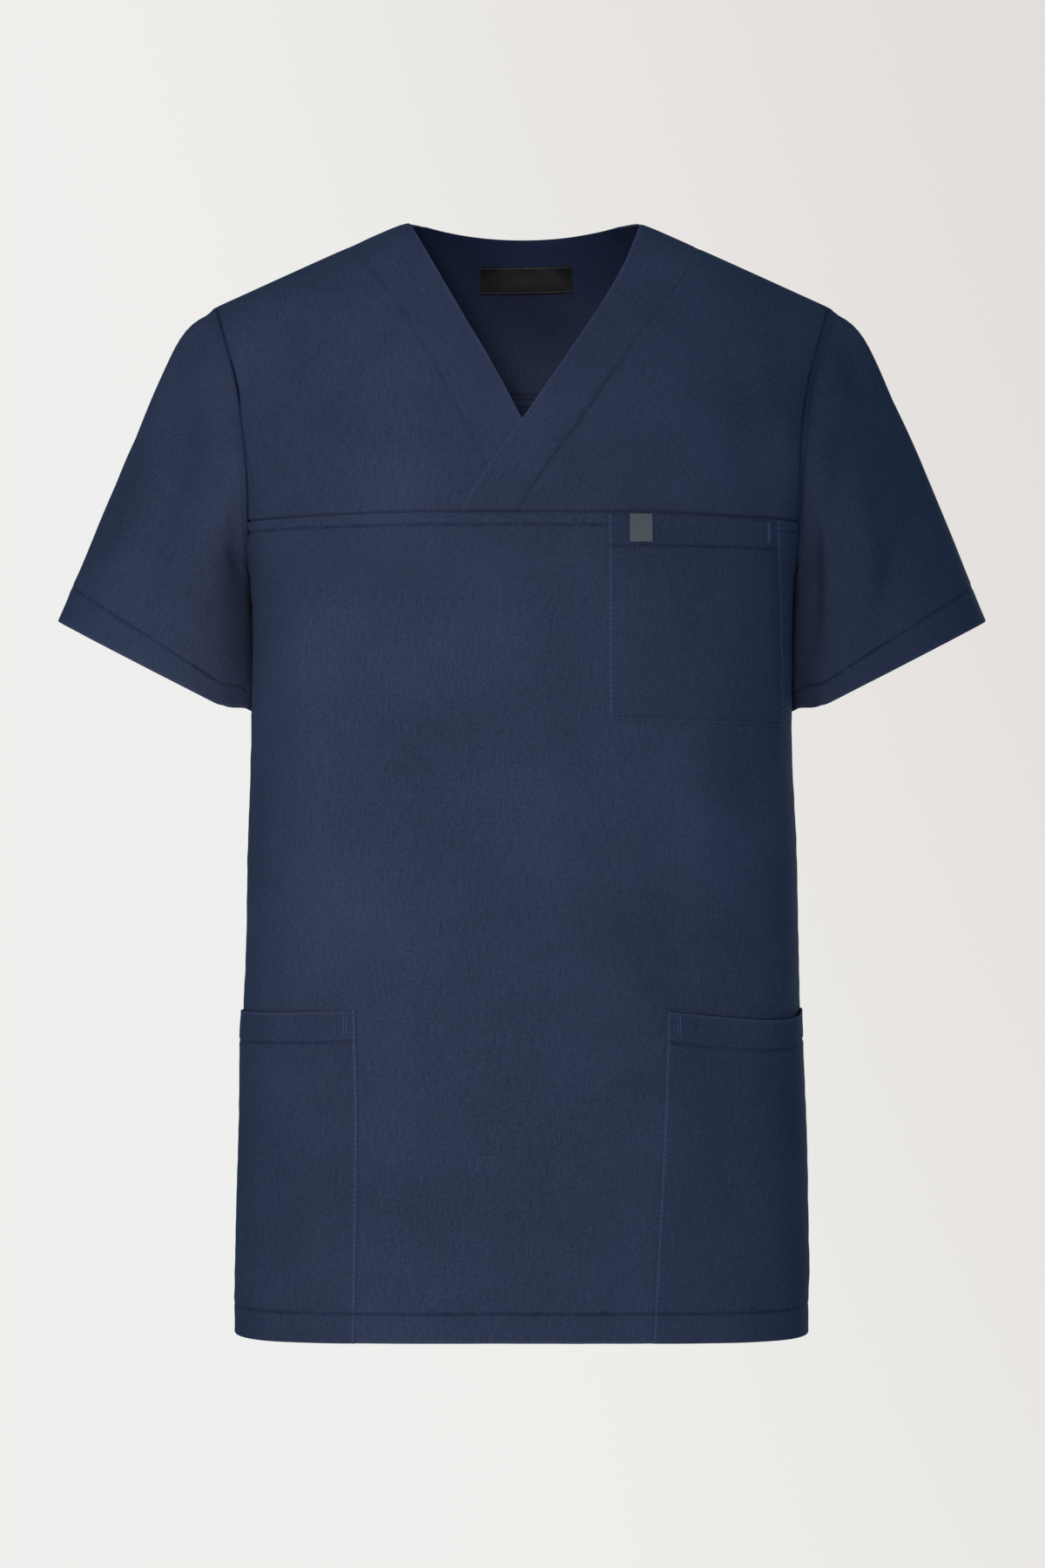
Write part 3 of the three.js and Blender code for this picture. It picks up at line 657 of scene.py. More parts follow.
# All that lifts the body's cloth off its form: folds, ripples and the pull of the armhole seam.
def bodyRelief(face, x, drop):
    kind = ripples[face]
    slow = unevenWaves(x, drop * ripples["drawnDown"], kind["seed"], kind["slowLength"])
    fine = unevenWaves(x * ripples["drawnAcross"], drop, kind["seed"] + 1, kind["fineLength"])
    ripple = slow * kind["slowRise"] + fine * kind["fineRise"]
    if face == front:
        ripple = ripple + waistWaves(x, drop)
    folds = foldDepth * creaseField(x, drop, bodyFolds[face])
    return smooth(0, ripples["fadeIn"], drop) * (folds + ripple + besideArmhole(face, x, drop))


# The cloth draws in along a row of stitches, unevenly.
stitchDraw = {
    "deep": 0.7, "wide": 1.2,               # mm, the groove under the row
    "uneven": 0.35,                         # share by which its depth varies
    "swell": 0.32, "swellWide": 6,          # mm, the cloth beside it
    "weak": 0.6                             # share of it along a pocket's edges
}


def pucker(distance, along, seed):
    uneven = unevenWaves(along, along * 0, seed, 9, 5)
    drawn = -stitchDraw["deep"] * bell(distance, stitchDraw["wide"]) * (1 + stitchDraw["uneven"] * uneven)
    swell = stitchDraw["swell"] * bell(distance, stitchDraw["swellWide"])
    return drawn + swell * unevenWaves(along, along * 0, seed + 1, 13, 5)


# Neckbands: x of the free inner edges at each drop, and how the upper one laps over.
neckband = {
    "run": 38.5,             # width measured level
    "slant": 0.86,           # the bands run slantwise, so a level distance is longer than the true one
    "lap": 1.7,              # rise of the upper band where it crosses the under one
    "underEnd": 188,         # drop at which the under one ends
    "cover": 7,              # how far it runs in under the upper one
    "foldCloth": 1.9,        # cloth doubled at a folded edge
    "foldFrom": 3, "foldTo": 9,
    "dip": 1.9,              # how deep upper pieces go under the lower front
    "hiddenDip": 1.3         # and the right yoke below the upper band
}
upperBandEdge = {"drop": [0, 29, 58, 90, 137, 180, 203], "x": [80, 69, 53.7, 33.4, 2.6, -27.8, -40.5]}
lowerBandEdge = {"drop": [0, 69, 97, 141, 203], "x": [-76, -38.2, -22.2, 0.5, 31]}
seamTuck = 3                   # upper pieces run this far under the lower front's folded edge
yokeRow = 8                    # topstitching below the yoke seam
lapRise = 0.45                 # of the lower front over them


def upperEdge(drop):
    return readTable(upperBandEdge, "x", drop)


def lowerEdge(drop):
    return readTable(lowerBandEdge, "x", drop)


def upperSeam(drop):
    return upperEdge(drop) + neckband["run"]


def lowerSeam(drop):
    return lowerEdge(drop) - neckband["run"]


# Cloth doubled along a band's folded edge.
def bandThickness(fromFold):
    return mix(neckband["foldCloth"], cloth, smooth(neckband["foldFrom"], neckband["foldTo"], fromFold))


def sharesAcross(width, marks=(0, 1), coarse=None):
    return gradedStops(width, [mark * width for mark in marks], coarse) / width


# Relief of a panel on one face of the body, without its stitches.
def reliefOf(grid, face=front):
    return bodyRelief(face, grid["x"], grid["drop"])


# Upper pieces dip under the lower front where they run into the yoke seam.
def frontUpperLift(grid, seam, seed):
    drop = grid["drop"]
    distance = (grid["x"] - seam(drop)) * neckband["slant"]
    dip = neckband["dip"] * smooth(frontYokeDrop - 3, frontYokeDrop, drop)
    return reliefOf(grid) + pucker(distance, drop, seed) - dip


def overBandLift(grid):
    crossing = smooth(85, 125, grid["drop"]) * (1 - smooth(0.82, 1, grid["side"]))
    return neckband["lap"] * crossing * (1 - smooth(frontYokeDrop - 9, frontYokeDrop, grid["drop"]))


# The side of a front panel, from a function that gives its x at a drop.
def sideAt(edge):
    return lambda drop: turnAt(front, edge(drop), drop)


print("front yokes and neckbands")
# Widths of the panels in mm, by which their grids are spaced.
panelWide = {"frontYoke": 196, "lowerFront": 515, "lowerBack": 507, "backYoke": 414}
upperRows = rowDrops(front, 0.4, 0, frontYokeDrop + seamTuck, [0, frontYokeDrop - 1])
grid = layPanel(front, upperRows, sharesAcross(panelWide["frontYoke"]),
                lambda drop: -armholeTurn(front, drop), sideAt(lowerSeam))
hidden = smooth(0, 10, grid["x"] - upperEdge(grid["drop"])) * smooth(150, 170, grid["drop"])
hidden = hidden * smooth(192, frontYokeDrop, grid["drop"])
buildCloth("frontYokeRight", grid, frontUpperLift(grid, lowerSeam, 31) - neckband["hiddenDip"] * hidden,
           bodyTwill, butt=("right",), paintedShadeSides=("left", "bottom"))

grid = layPanel(front, upperRows, sharesAcross(panelWide["frontYoke"]),
                sideAt(upperSeam), lambda drop: armholeTurn(front, drop))
buildCloth("frontYokeLeft", grid, frontUpperLift(grid, upperSeam, 33), bodyTwill,
           butt=("left",), paintedShadeSides=("right", "bottom"))


# The under band ends where it has run far enough in under the upper one.
def underEdge(drop):
    return np.minimum(lowerEdge(drop), upperSeam(drop) - neckband["cover"])


underRows = rowDrops(front, 0.4, 0, neckband["underEnd"], [0, neckband["underEnd"]])
bandShares = sharesAcross(neckband["run"])
grid = layPanel(front, underRows, bandShares, sideAt(lowerSeam), sideAt(underEdge))
bandRight = buildCloth("neckbandRight", grid, frontUpperLift(grid, lowerSeam, 31), bodyTwill,
                       thickness=bandThickness((1 - grid["side"]) * neckband["run"]),
                       butt=("left",), folded=("right",))

grid = layPanel(front, upperRows, bandShares, sideAt(upperEdge), sideAt(upperSeam))
bandLeft = buildCloth("neckbandLeft", grid, frontUpperLift(grid, upperSeam, 33) + overBandLift(grid),
                      bodyTwill, thickness=bandThickness(grid["side"] * neckband["run"]),
                      butt=("right",), folded=("left",), paintedShadeSides=("bottom",))

print("lower front and back")
hemRow = hemDrop - bodyForm["hemDepth"]
stitchIn = 0.8                 # hem stitching runs this far inside the turned edge
hemRipple = {"rise": 0.5, "length": 28, "drawn": 0.25, "above": 25, "below": 6}
lowerBack = {"tuck": 1.25, "tuckTo": 3.2, "row": 8}    # the row is topstitching above its seam


def hemThickness(drop):
    return mix(cloth, bodyForm["hemCloth"], smooth(hemRow - 0.5, hemRow + 0.5, drop))


def hemPucker(x, drop, seed):
    ripple = unevenWaves(x, drop * hemRipple["drawn"], seed + 4, hemRipple["length"], 5)
    near = smooth(hemRow - hemRipple["above"], hemRow + hemRipple["below"], drop)
    return pucker(drop - hemRow - stitchIn, x, seed) + ripple * hemRipple["rise"] * near


def lowerFrontLift(x, drop):
    lap = lapRise * (1 - smooth(frontYokeDrop, frontYokeDrop + 9, drop))
    return (bodyRelief(front, x, drop) + lap + pucker(drop - frontYokeDrop - yokeRow, x, 41)
            + hemPucker(x, drop, 43))


# Below the underarm the lower front and back meet, so the side seams are closed.
def sideEdge(face, drop):
    return mix(armholeTurn(face, drop), 1, smooth(underarmDrop, underarmDrop + 8, drop))


# A panel that runs right across one face, its sides given by a function of face and drop.
def layAcross(face, drops, shares, edge):
    return layPanel(face, drops, shares, lambda drop: -edge(face, drop), lambda drop: edge(face, drop))


lowerRows = rowDrops(front, 0, frontYokeDrop, hemDrop,
                     [frontYokeDrop, frontYokeDrop + yokeRow, hemRow, hemDrop])
grid = layAcross(front, lowerRows, sharesAcross(panelWide["lowerFront"]), sideEdge)
frontBody = buildCloth("lowerFront", grid, lowerFrontLift(grid["x"], grid["drop"]), bodyTwill,
                       thickness=hemThickness(grid["drop"]), folded=("bottom",),
                       paintedShadeSides=("left", "right"))

backRows = rowDrops(back, 0, backYokeDrop - 5, hemDrop, [backYokeDrop, hemRow, hemDrop])
grid = layAcross(back, backRows, sharesAcross(panelWide["lowerBack"]), sideEdge)
tuck = -lowerBack["tuck"] * (1 - smooth(backYokeDrop, backYokeDrop + lowerBack["tuckTo"], grid["drop"]))
backBody = buildCloth("lowerBack", grid,
                      reliefOf(grid, back) + tuck + hemPucker(grid["x"], grid["drop"], 53), bodyTwill,
                      thickness=hemThickness(grid["drop"]), folded=("bottom",),
                      paintedShadeSides=("left", "right", "top"))

print("back yoke")
upperBack = {
    "lap": 0.3,                          # rise over the lower back
    "narrow": 8,                         # mm by which the dip for the neck is narrower than the neck
    "foldFrom": 84, "foldTo": 74,        # x between which the neckline's doubled edge begins
    "shade": 0.72, "shadeFrom": 20, "shadeTo": 125   # painted shade on the inside, darkest at the neckline
}
yokeRows = rowDrops(back, 0.3, 0, backYokeDrop, [0, backYokeDrop - lowerBack["row"], backYokeDrop])
yokeShares = sharesAcross(panelWide["backYoke"])
even = np.repeat(yokeRows[:, None], len(yokeShares), 1)
turn = (yokeShares[None, :] * 2 - 1) * armholeTurn(back, even)
x = bodyPoint(back, turn, levelAt(even))[..., 0]
dip = bodyForm["backNeckDip"] * np.clip(1 - (x / (bodyForm["neckHalf"] - upperBack["narrow"])) ** 2, 0, 1)
fade = (1 - np.linspace(0, 1, len(yokeRows))[:, None]) ** 2
drops = np.minimum(even + dip * fade, backYokeDrop)
grid = layAcross(back, drops, yokeShares, armholeTurn)
lift = (reliefOf(grid, back) + upperBack["lap"] * smooth(backYokeDrop - 9, backYokeDrop, grid["drop"])
        + pucker(grid["drop"] - backYokeDrop + lowerBack["row"], grid["x"], 51))
neckFold = smooth(upperBack["foldFrom"], upperBack["foldTo"], np.abs(grid["x"]))
neckFold = neckFold * (1 - smooth(2, 9, grid["drop"] - drops[:1]))
# Painted shade over the inside of the back yoke, fading out below the neckline.
shade = upperBack["shade"] * (1 - smooth(upperBack["shadeFrom"], upperBack["shadeTo"], grid["drop"]))
backYoke = buildCloth("backYoke", grid, lift, bodyTwill, paintedShadeSides=("left", "right"), paintedInnerShade=shade,
                      thickness=mix(cloth, neckband["foldCloth"], neckFold))

print("sleeves")
sleeve = {
    "cuffTilt": math.radians(27.2), "cuffTip": (315, -270), "cuffHalfWidth": 79, "cuffHalfDepth": 55,
    "centre": 8, "clear": 0.8, "reachTip": 23, "reachSide": 13, "reachUnderarm": 3,
    "creaseShare": 0.6, "bendTip": 0.2, "bendSide": 0.14, "innerLift": 7,
    "liftFrom": 0.55, "liftFull": 0.85, "restFrom": 130, "restFull": 200, "restStart": 0.04,
    "softTop": 1.2, "softCuff": 2.2, "lowFrom": 1.3, "lowCrease": 0.45, "hem": 20, "columns": 176,
    "round": 480             # mm round the cuff
}


def bodyHalfAt(y, z):
    half = readTable(sections, "half", -z)
    widest = readTable(sections, "widest", -z)

    def ofFace(column):
        return np.where(y < widest, readTable(sections, column[front], -z),
                        readTable(sections, column[back], -z))

    depth = ofFace(depthColumn)
    square = ofFace(squareColumn)
    share = np.minimum(np.abs(y - widest) / depth, 1)
    return half * (1 - share ** square) ** (1 / square)


# Stations down the armhole edge: 0 at the shoulder tip, 1 half way down, 2 at the underarm.
def stationDrop(station):
    upper = underarmDrop * (1 - np.cos(np.minimum(station, 1) * math.pi / 3))
    return np.where(station <= 1, upper, underarmDrop / 2 * (1 + np.sin((station - 1) * math.pi / 2)))


# The ring of armhole points on one side, evenly spaced: shoulder tip, front, underarm, back.
def armholeRing(side):
    down = np.linspace(0, 2, 400)
    station = np.concatenate([down, down[::-1][1:-1]])
    ahead = np.concatenate([np.ones(len(down), bool), np.zeros(len(down) - 2, bool)])
    drop = stationDrop(station)

    def both(function):
        return np.where(ahead[:, None], function(front), function(back))

    def turn(face):
        return side * armholeTurn(face, drop)

    point = both(lambda face: bodyPoint(face, turn(face), levelAt(drop)))
    normal = both(lambda face: bodyNormal(face, turn(face), levelAt(drop)))
    gaps = np.linalg.norm(np.roll(point, -1, 0) - point, axis=1)
    length = np.concatenate([[0], np.cumsum(gaps)])
    even = np.linspace(0, length[-1], sleeve["columns"], endpoint=False)

    def spaced(values):
        closed = np.concatenate([values, values[:1]])
        return np.stack([np.interp(even, length, closed[..., k]) for k in range(closed.shape[-1])], -1)

    return {"point": spaced(point), "normal": unit(spaced(normal)),
            "station": spaced(station[:, None])[:, 0], "share": even / length[-1]}


def sleeveSurface(side):
    ring = armholeRing(side)
    tilt = sleeve["cuffTilt"]
    out = np.array([side * math.cos(tilt), 0, math.sin(tilt)])
    slopeOut = unit(np.array([side, 0, -0.3]))
    toSide = np.sin(math.pi * ring["station"] / 2)
    low = smooth(sleeve["lowFrom"], 2, ring["station"])
    spread = 4                # columns either side that steady the edge's direction
    tangent = unit(np.roll(ring["point"], -spread, 0) - np.roll(ring["point"], spread, 0))
    hole = unit(np.cross(ring["normal"], tangent) * side)
    crease = np.maximum(sleeve["creaseShare"] * np.maximum(toSide, 0), sleeve["lowCrease"] * low)[:, None]
    start = unit(mix(hole, slopeOut, crease))
    reach = mix(mix(sleeve["reachTip"], sleeve["reachSide"], toSide), sleeve["reachUnderarm"], low)
    seam = ring["point"]
    knee = ring["point"] + start * reach[:, None]
    angle = ring["share"] * 2 * math.pi
    centre = np.array([side * sleeve["cuffTip"][0], sleeve["centre"], sleeve["cuffTip"][1]])
    centre = centre - out * sleeve["cuffHalfWidth"]
    cuff = centre + out * (sleeve["cuffHalfWidth"] * np.cos(angle))[:, None]
    cuff = cuff + np.array([0, -1, 0]) * (sleeve["cuffHalfDepth"] * np.sin(angle))[:, None]
    cuff[:, 2] += sleeve["innerLift"] * smooth(sleeve["liftFrom"], sleeve["liftFull"], -np.cos(angle))
    bend = mix(sleeve["bendTip"], sleeve["bendSide"], np.maximum(toSide, low))[None, :, None]
    end = mix(knee, cuff, bend[0])

    def place(t):
        t = np.asarray(t, float)[:, None, None]
        u = np.clip(t / bend, 0, 1)
        curve = seam * (1 - u) ** 2 + knee * 2 * u * (1 - u) + end * u ** 2
        point = np.where(t < bend, curve, mix(end, cuff, (t - bend) / (1 - bend)))
        room = bodyHalfAt(point[..., 1], point[..., 2]) + sleeve["clear"] - np.abs(point[..., 0])
        softness = mix(sleeve["softTop"], sleeve["softCuff"], smooth(0, 0.5, t[..., 0]))
        push = softness * np.log1p(np.exp(np.minimum(room / softness, 40)))
        push = push * smooth(sleeve["restFrom"], sleeve["restFull"], -point[..., 2])
        push = push * smooth(0, sleeve["restStart"], t[..., 0]) / math.cos(tilt)
        return point + out * push[..., None]

    return ring, place


# Folds of a sleeve's front and back, as start x and drop, end x and drop (x out from the centre),
# bow, width and rise.
sleeveFolds = {
    (-1, front): [(236, 96, 284, 268, -5, 13, 2.6), (222, 108, 256, 258, -4, 11, -3.2),
                  (208, 150, 230, 292, -4, 10, 1.4), (193, 190, 194, 300, 1, 6, -0.4),
                  (246, 232, 252, 300, 2, 8, -1.2)],
    (1, front): [(222, 160, 240, 272, -4, 11, 2.4), (264, 196, 236, 298, -5, 11, -2.9),
                 (250, 120, 298, 266, 5, 13, 2.1), (210, 60, 228, 122, 3, 9, -2.6),
                 (193, 190, 195, 300, 1, 6, -2.2)],
    (-1, back): [(228, 84, 250, 270, -6, 15, -2.6), (212, 120, 226, 296, -4, 13, 2.6),
                 (254, 140, 292, 280, 4, 12, 2.0), (194, 190, 195, 300, 1, 7, -0.3)],
    (1, back): [(232, 90, 262, 264, -6, 14, 2.6), (214, 110, 234, 290, -5, 12, -2.6),
                (256, 150, 290, 276, 4, 12, -2.0), (195, 196, 196, 300, 1, 7, -0.2)]
}
sleeveFoldDepth = {-1: 1.05, 1: 1.6}     # how much they are deepened on each side
sleeveRipple = {
    "rise": 0.25, "length": 60,                                # over the whole sleeve
    "uneven": 0.35, "unevenLength": 70,                        # of the valley's depth
    "hemRise": 0.3, "hemLength": 34, "hemDrawn": 0.3, "hemFrom": 26, "hemFull": 4
}
# The sleeve's head falls away in a valley beside the armhole seam, deeper on the wearer's left.
sleeveValley = {"at": 5.5, "wide": 4.2, -1: 1.9, 1: 3.3, "swellAt": 18, "swellWide": 8, "swell": 1.2}


def makeSleeve(side, name):
    ring, place = sleeveSurface(side)
    rough = place(np.linspace(0, 1, 60))
    length = np.linalg.norm(np.diff(rough, axis=0), axis=2).sum(0).mean()
    stops = gradedStops(length, [0, length - sleeve["hem"], length]) / length
    point = place(stops)
    step = 0.004
    down = place(np.minimum(stops + step, 1)) - place(np.maximum(stops - step, 0))
    sideways = np.roll(point, -1, 1) - np.roll(point, 1, 1)
    normal = unit(np.cross(sideways, down)) * side
    normal[0] = ring["normal"]
    outX = np.abs(point[..., 0])
    drop = -point[..., 2]
    lift = np.zeros(outX.shape)
    for face in (front, back):
        facing = smooth(0.05, 0.6, face * normal[..., 1])
        lift = lift + facing * sleeveFoldDepth[side] * creaseField(outX, drop, sleeveFolds[(side, face)])
    around = ring["share"][None, :] * sleeve["round"]
    fromCuff = (1 - stops)[:, None] * length
    wavy = unevenWaves(around, fromCuff, 60 + side, sleeveRipple["length"]) * sleeveRipple["rise"]
    lift = lift + wavy * smooth(0, 30, fromCuff)
    fromSeam = stops[:, None] * length
    uneven = unevenWaves(around, around * 0, 61 + side, sleeveRipple["unevenLength"], 4)
    uneven = 1 + sleeveRipple["uneven"] * uneven
    valley = bell(fromSeam - sleeveValley["at"], sleeveValley["wide"])
    swell = bell(fromSeam - sleeveValley["swellAt"], sleeveValley["swellWide"])
    lift = lift - sleeveValley[side] * uneven * valley
    lift = lift + sleeveValley["swell"] * swell
    lift = lift * smooth(0, 5, fromSeam)
    lift = lift + pucker(fromCuff - sleeve["hem"] + stitchIn, around, 63 + side)
    wavy = unevenWaves(around, fromCuff * sleeveRipple["hemDrawn"], 67 + side, sleeveRipple["hemLength"], 5)
    atHem = 1 - smooth(sleeveRipple["hemFull"], sleeveRipple["hemFrom"], fromCuff)
    lift = lift + wavy * sleeveRipple["hemRise"] * atHem
    thick = mix(bodyForm["hemCloth"], cloth, smooth(sleeve["hem"] - 0.5, sleeve["hem"] + 0.5, fromCuff))
    grid = {"point": point, "normal": normal}
    piece = buildCloth(name, grid, lift, bodyTwill, thickness=thick, ring=True,
                       folded=("bottom",), paintedShadeSides=("top",))
    rowAt = 1 - (sleeve["hem"] - stitchIn) / length
    stitchRow = place([rowAt])[0]
    stitchNormal = normal[np.argmin(np.abs(stops - rowAt))]
    return piece, stitchRow, stitchNormal


sleeveRight, cuffRowRight, cuffNormalRight = makeSleeve(-1, "sleeveRight")
sleeveLeft, cuffRowLeft, cuffNormalLeft = makeSleeve(1, "sleeveLeft")

print("pockets")
chestPocket = {
    "left": {"drop": [205, 344], "x": [56, 56.3]},
    "right": {"drop": [205, 344], "x": [168.4, 172.3]},
    "top": 205.2, "bottomLeft": 338, "bottomRight": 343.2, "wide": 118, "high": 136, "edgeWide": 116,
    "standOff": 1.9, "sewn": 1.35, "gape": 1.3, "puff": 0.9, "rim": 0.5,
    "creases": [(96, 262, 112, 300, 2, 9, 0.9), (150, 225, 156, 300, -3, 8, -0.6),
                (70, 250, 66, 320, 2, 8, 0.5)]
}
hipPockets = {
    -1: {"inner": {"drop": [528, 600, 744], "x": [108.4, 106.6, 108.6]}, "mouthInner": 528,
         "mouthSide": 532, "sag": 0.8, "gape": 1.4},
    1: {"inner": {"drop": [528, 600, 744], "x": [94.2, 91.8, 85]}, "mouthInner": 528.6,
        "mouthSide": 530.5, "sag": 5.8, "gape": 3.2},
    "wide": 158, "puff": 1.1,
    "reach": 0.62              # share of the mouth that sags and gapes, from the inner edge
}
pocketHem = 20                 # turned in at a pocket's mouth
edgeRow = 1.6                  # edge stitching inside a pocket's folded edge


def pocketGrid(topLine, bottomLine, width, height, left, right, marks):
    shares = sharesAcross(width)
    rows = gradedStops(height, marks, 3.0) / height
    drops = mix(topLine(shares)[None, :], bottomLine(shares)[None, :], rows[:, None])
    return layPanel(front, drops, shares, left, right)


def chestBottom(share):
    return mix(chestPocket["bottomLeft"], chestPocket["bottomRight"], share)


grid = pocketGrid(lambda share: chestPocket["top"] + share * 0, chestBottom,
                  chestPocket["wide"], chestPocket["high"],
                  sideAt(lambda drop: readTable(chestPocket["left"], "x", drop)),
                  sideAt(lambda drop: readTable(chestPocket["right"], "x", drop)),
                  [0, pocketHem, chestPocket["high"]])
fromSide = np.minimum(grid["side"], 1 - grid["side"]) * chestPocket["edgeWide"]
fromBottom = chestBottom(grid["side"]) - grid["drop"]
fromTop = grid["drop"] - chestPocket["top"]
puffed = smooth(0, 16, fromSide) * smooth(0, 20, fromBottom)
standing = mix(chestPocket["sewn"], chestPocket["standOff"] + chestPocket["puff"], puffed)
gaping = chestPocket["gape"] * np.sin(math.pi * grid["side"]) * (1 - smooth(0, 45, fromTop)) ** 2
edges = pucker(fromSide - edgeRow, grid["drop"], 73) + pucker(fromBottom - edgeRow, grid["x"], 75)
chestLift = (reliefOf(grid) + standing + gaping
             + creaseField(grid["x"], grid["drop"], chestPocket["creases"])
             + chestPocket["rim"] * (1 - smooth(0, 8, fromTop))
             + pucker(fromTop - pocketHem, grid["x"], 71) + stitchDraw["weak"] * edges)
chestPiece = buildCloth("chestPocket", grid, chestLift, pocketTwill, folded=("left", "right", "bottom"))


def makeHipPocket(side, name):
    pocket = hipPockets[side]

    def mouth(share):
        fromInner = 1 - share if side < 0 else share
        sag = pocket["sag"] * np.sin(math.pi * np.minimum(fromInner / hipPockets["reach"], 1) ** 1.2)
        return mix(pocket["mouthInner"], pocket["mouthSide"], fromInner) + sag

    def inner(drop):
        return side * turnAt(front, readTable(pocket["inner"], "x", drop), drop)

    def outer(drop):
        return side * sideTurn + drop * 0

    height = hemDrop - pocket["mouthInner"]
    grid = pocketGrid(mouth, lambda share: hemDrop + share * 0, hipPockets["wide"], height,
                      outer if side < 0 else inner, inner if side < 0 else outer,
                      [0, pocketHem, height - bodyForm["hemDepth"], height])
    fromInner = (1 - grid["side"] if side < 0 else grid["side"]) * hipPockets["wide"]
    fromTop = grid["drop"] - mouth(grid["side"])
    fromHem = hemDrop - grid["drop"]
    fromSeam = hipPockets["wide"] - fromInner
    puffed = smooth(0, 22, fromInner) * smooth(25, 85, fromSeam) * smooth(6, 46, fromHem)
    standing = mix(chestPocket["sewn"], chestPocket["standOff"] + hipPockets["puff"], puffed)
    gaping = np.sin(math.pi * np.minimum(fromInner / hipPockets["wide"] / hipPockets["reach"], 1))
    gaping = pocket["gape"] * gaping * (1 - smooth(0, 75, fromTop)) ** 2
    lift = (reliefOf(grid) + standing + gaping
            + pucker(fromTop - pocketHem, grid["x"], 81 + side)
            + stitchDraw["weak"] * pucker(fromInner - edgeRow, grid["drop"], 85 + side)
            + hemPucker(grid["x"], grid["drop"], 43))
    return buildCloth(name, grid, lift, pocketTwill, folded=("top", "right" if side < 0 else "left"))


hipRight = makeHipPocket(-1, "hipPocketRight")
hipLeft = makeHipPocket(1, "hipPocketLeft")

print("labels")
neckLabel = {
    "left": -29.5, "right": 35.3, "top": 21.5, "bottom": 40.2, "cloth": 0.7,
    "standOff": 1.9, "away": 0.5, "wave": 0.12, "tilt": -1.0
}
pocketTag = {
    "left": 69.5, "right": 84.2, "top": 204.8, "bottom": 223.6, "cloth": 0.9,
    "overPocket": 0.8, "gapeShare": 0.9, "standOff": 1.3, "bulge": 0.7
}
labelSteps = {"across": 34, "down": 22}
labelRows = np.linspace(0, 1, labelSteps["down"])[:, None]


def labelGrid(face, size, tilt=0):
    shares = np.linspace(0, 1, labelSteps["across"])
    rows = np.linspace(size["top"], size["bottom"], labelSteps["down"])[:, None]
    rows = rows + tilt * (shares[None, :] - 0.5)
    return layPanel(face, rows, shares,
                    lambda drop: turnAt(face, size["left"], drop),
                    lambda drop: turnAt(face, size["right"], drop))


grid = labelGrid(back, neckLabel, neckLabel["tilt"])
away = neckLabel["away"] * smooth(0.2, 0.8, labelRows) * np.sin(math.pi * grid["side"])
wave = unevenWaves(grid["x"], grid["drop"], 91, 22, 4) * neckLabel["wave"]
labelPiece = buildCloth("neckLabel", grid, -neckLabel["standOff"] - away + wave, labelSatin,
                        thickness=neckLabel["cloth"])
grid = labelGrid(front, pocketTag)
bulge = pocketTag["bulge"] * np.sin(math.pi * labelRows) ** 0.8
standing = chestPocket["standOff"] + pocketTag["overPocket"] + chestPocket["gape"] * pocketTag["gapeShare"]
buildCloth("pocketLabel", grid, standing + pocketTag["standOff"] + bulge + reliefOf(grid), tagSatin,
           thickness=pocketTag["cloth"])

print("stitching")
# Lockstitch: each stitch is a short rounded thread, half sunk in the cloth.
lockstitch = {"pitch": 3.3, "long": 2.6, "wide": 0.56, "sink": 0.04, "seed": 5}
labelStitch = {"pitch": 2.6, "long": 2.1, "wide": 0.35, "topIn": 1.2, "bottomIn": 1.4, "sideIn": 1.2}
barTack = {"pitch": 0.55, "wide": 1.5, "thread": 0.42, "sink": -0.05}
bandIn = 0.9                   # topstitching on a neckband, from its seam
rowEnd = 0.012                 # share of the turn by which a seam's row stops short of the armhole
hemReach = 0.995               # share of the turn that the hem's rows reach


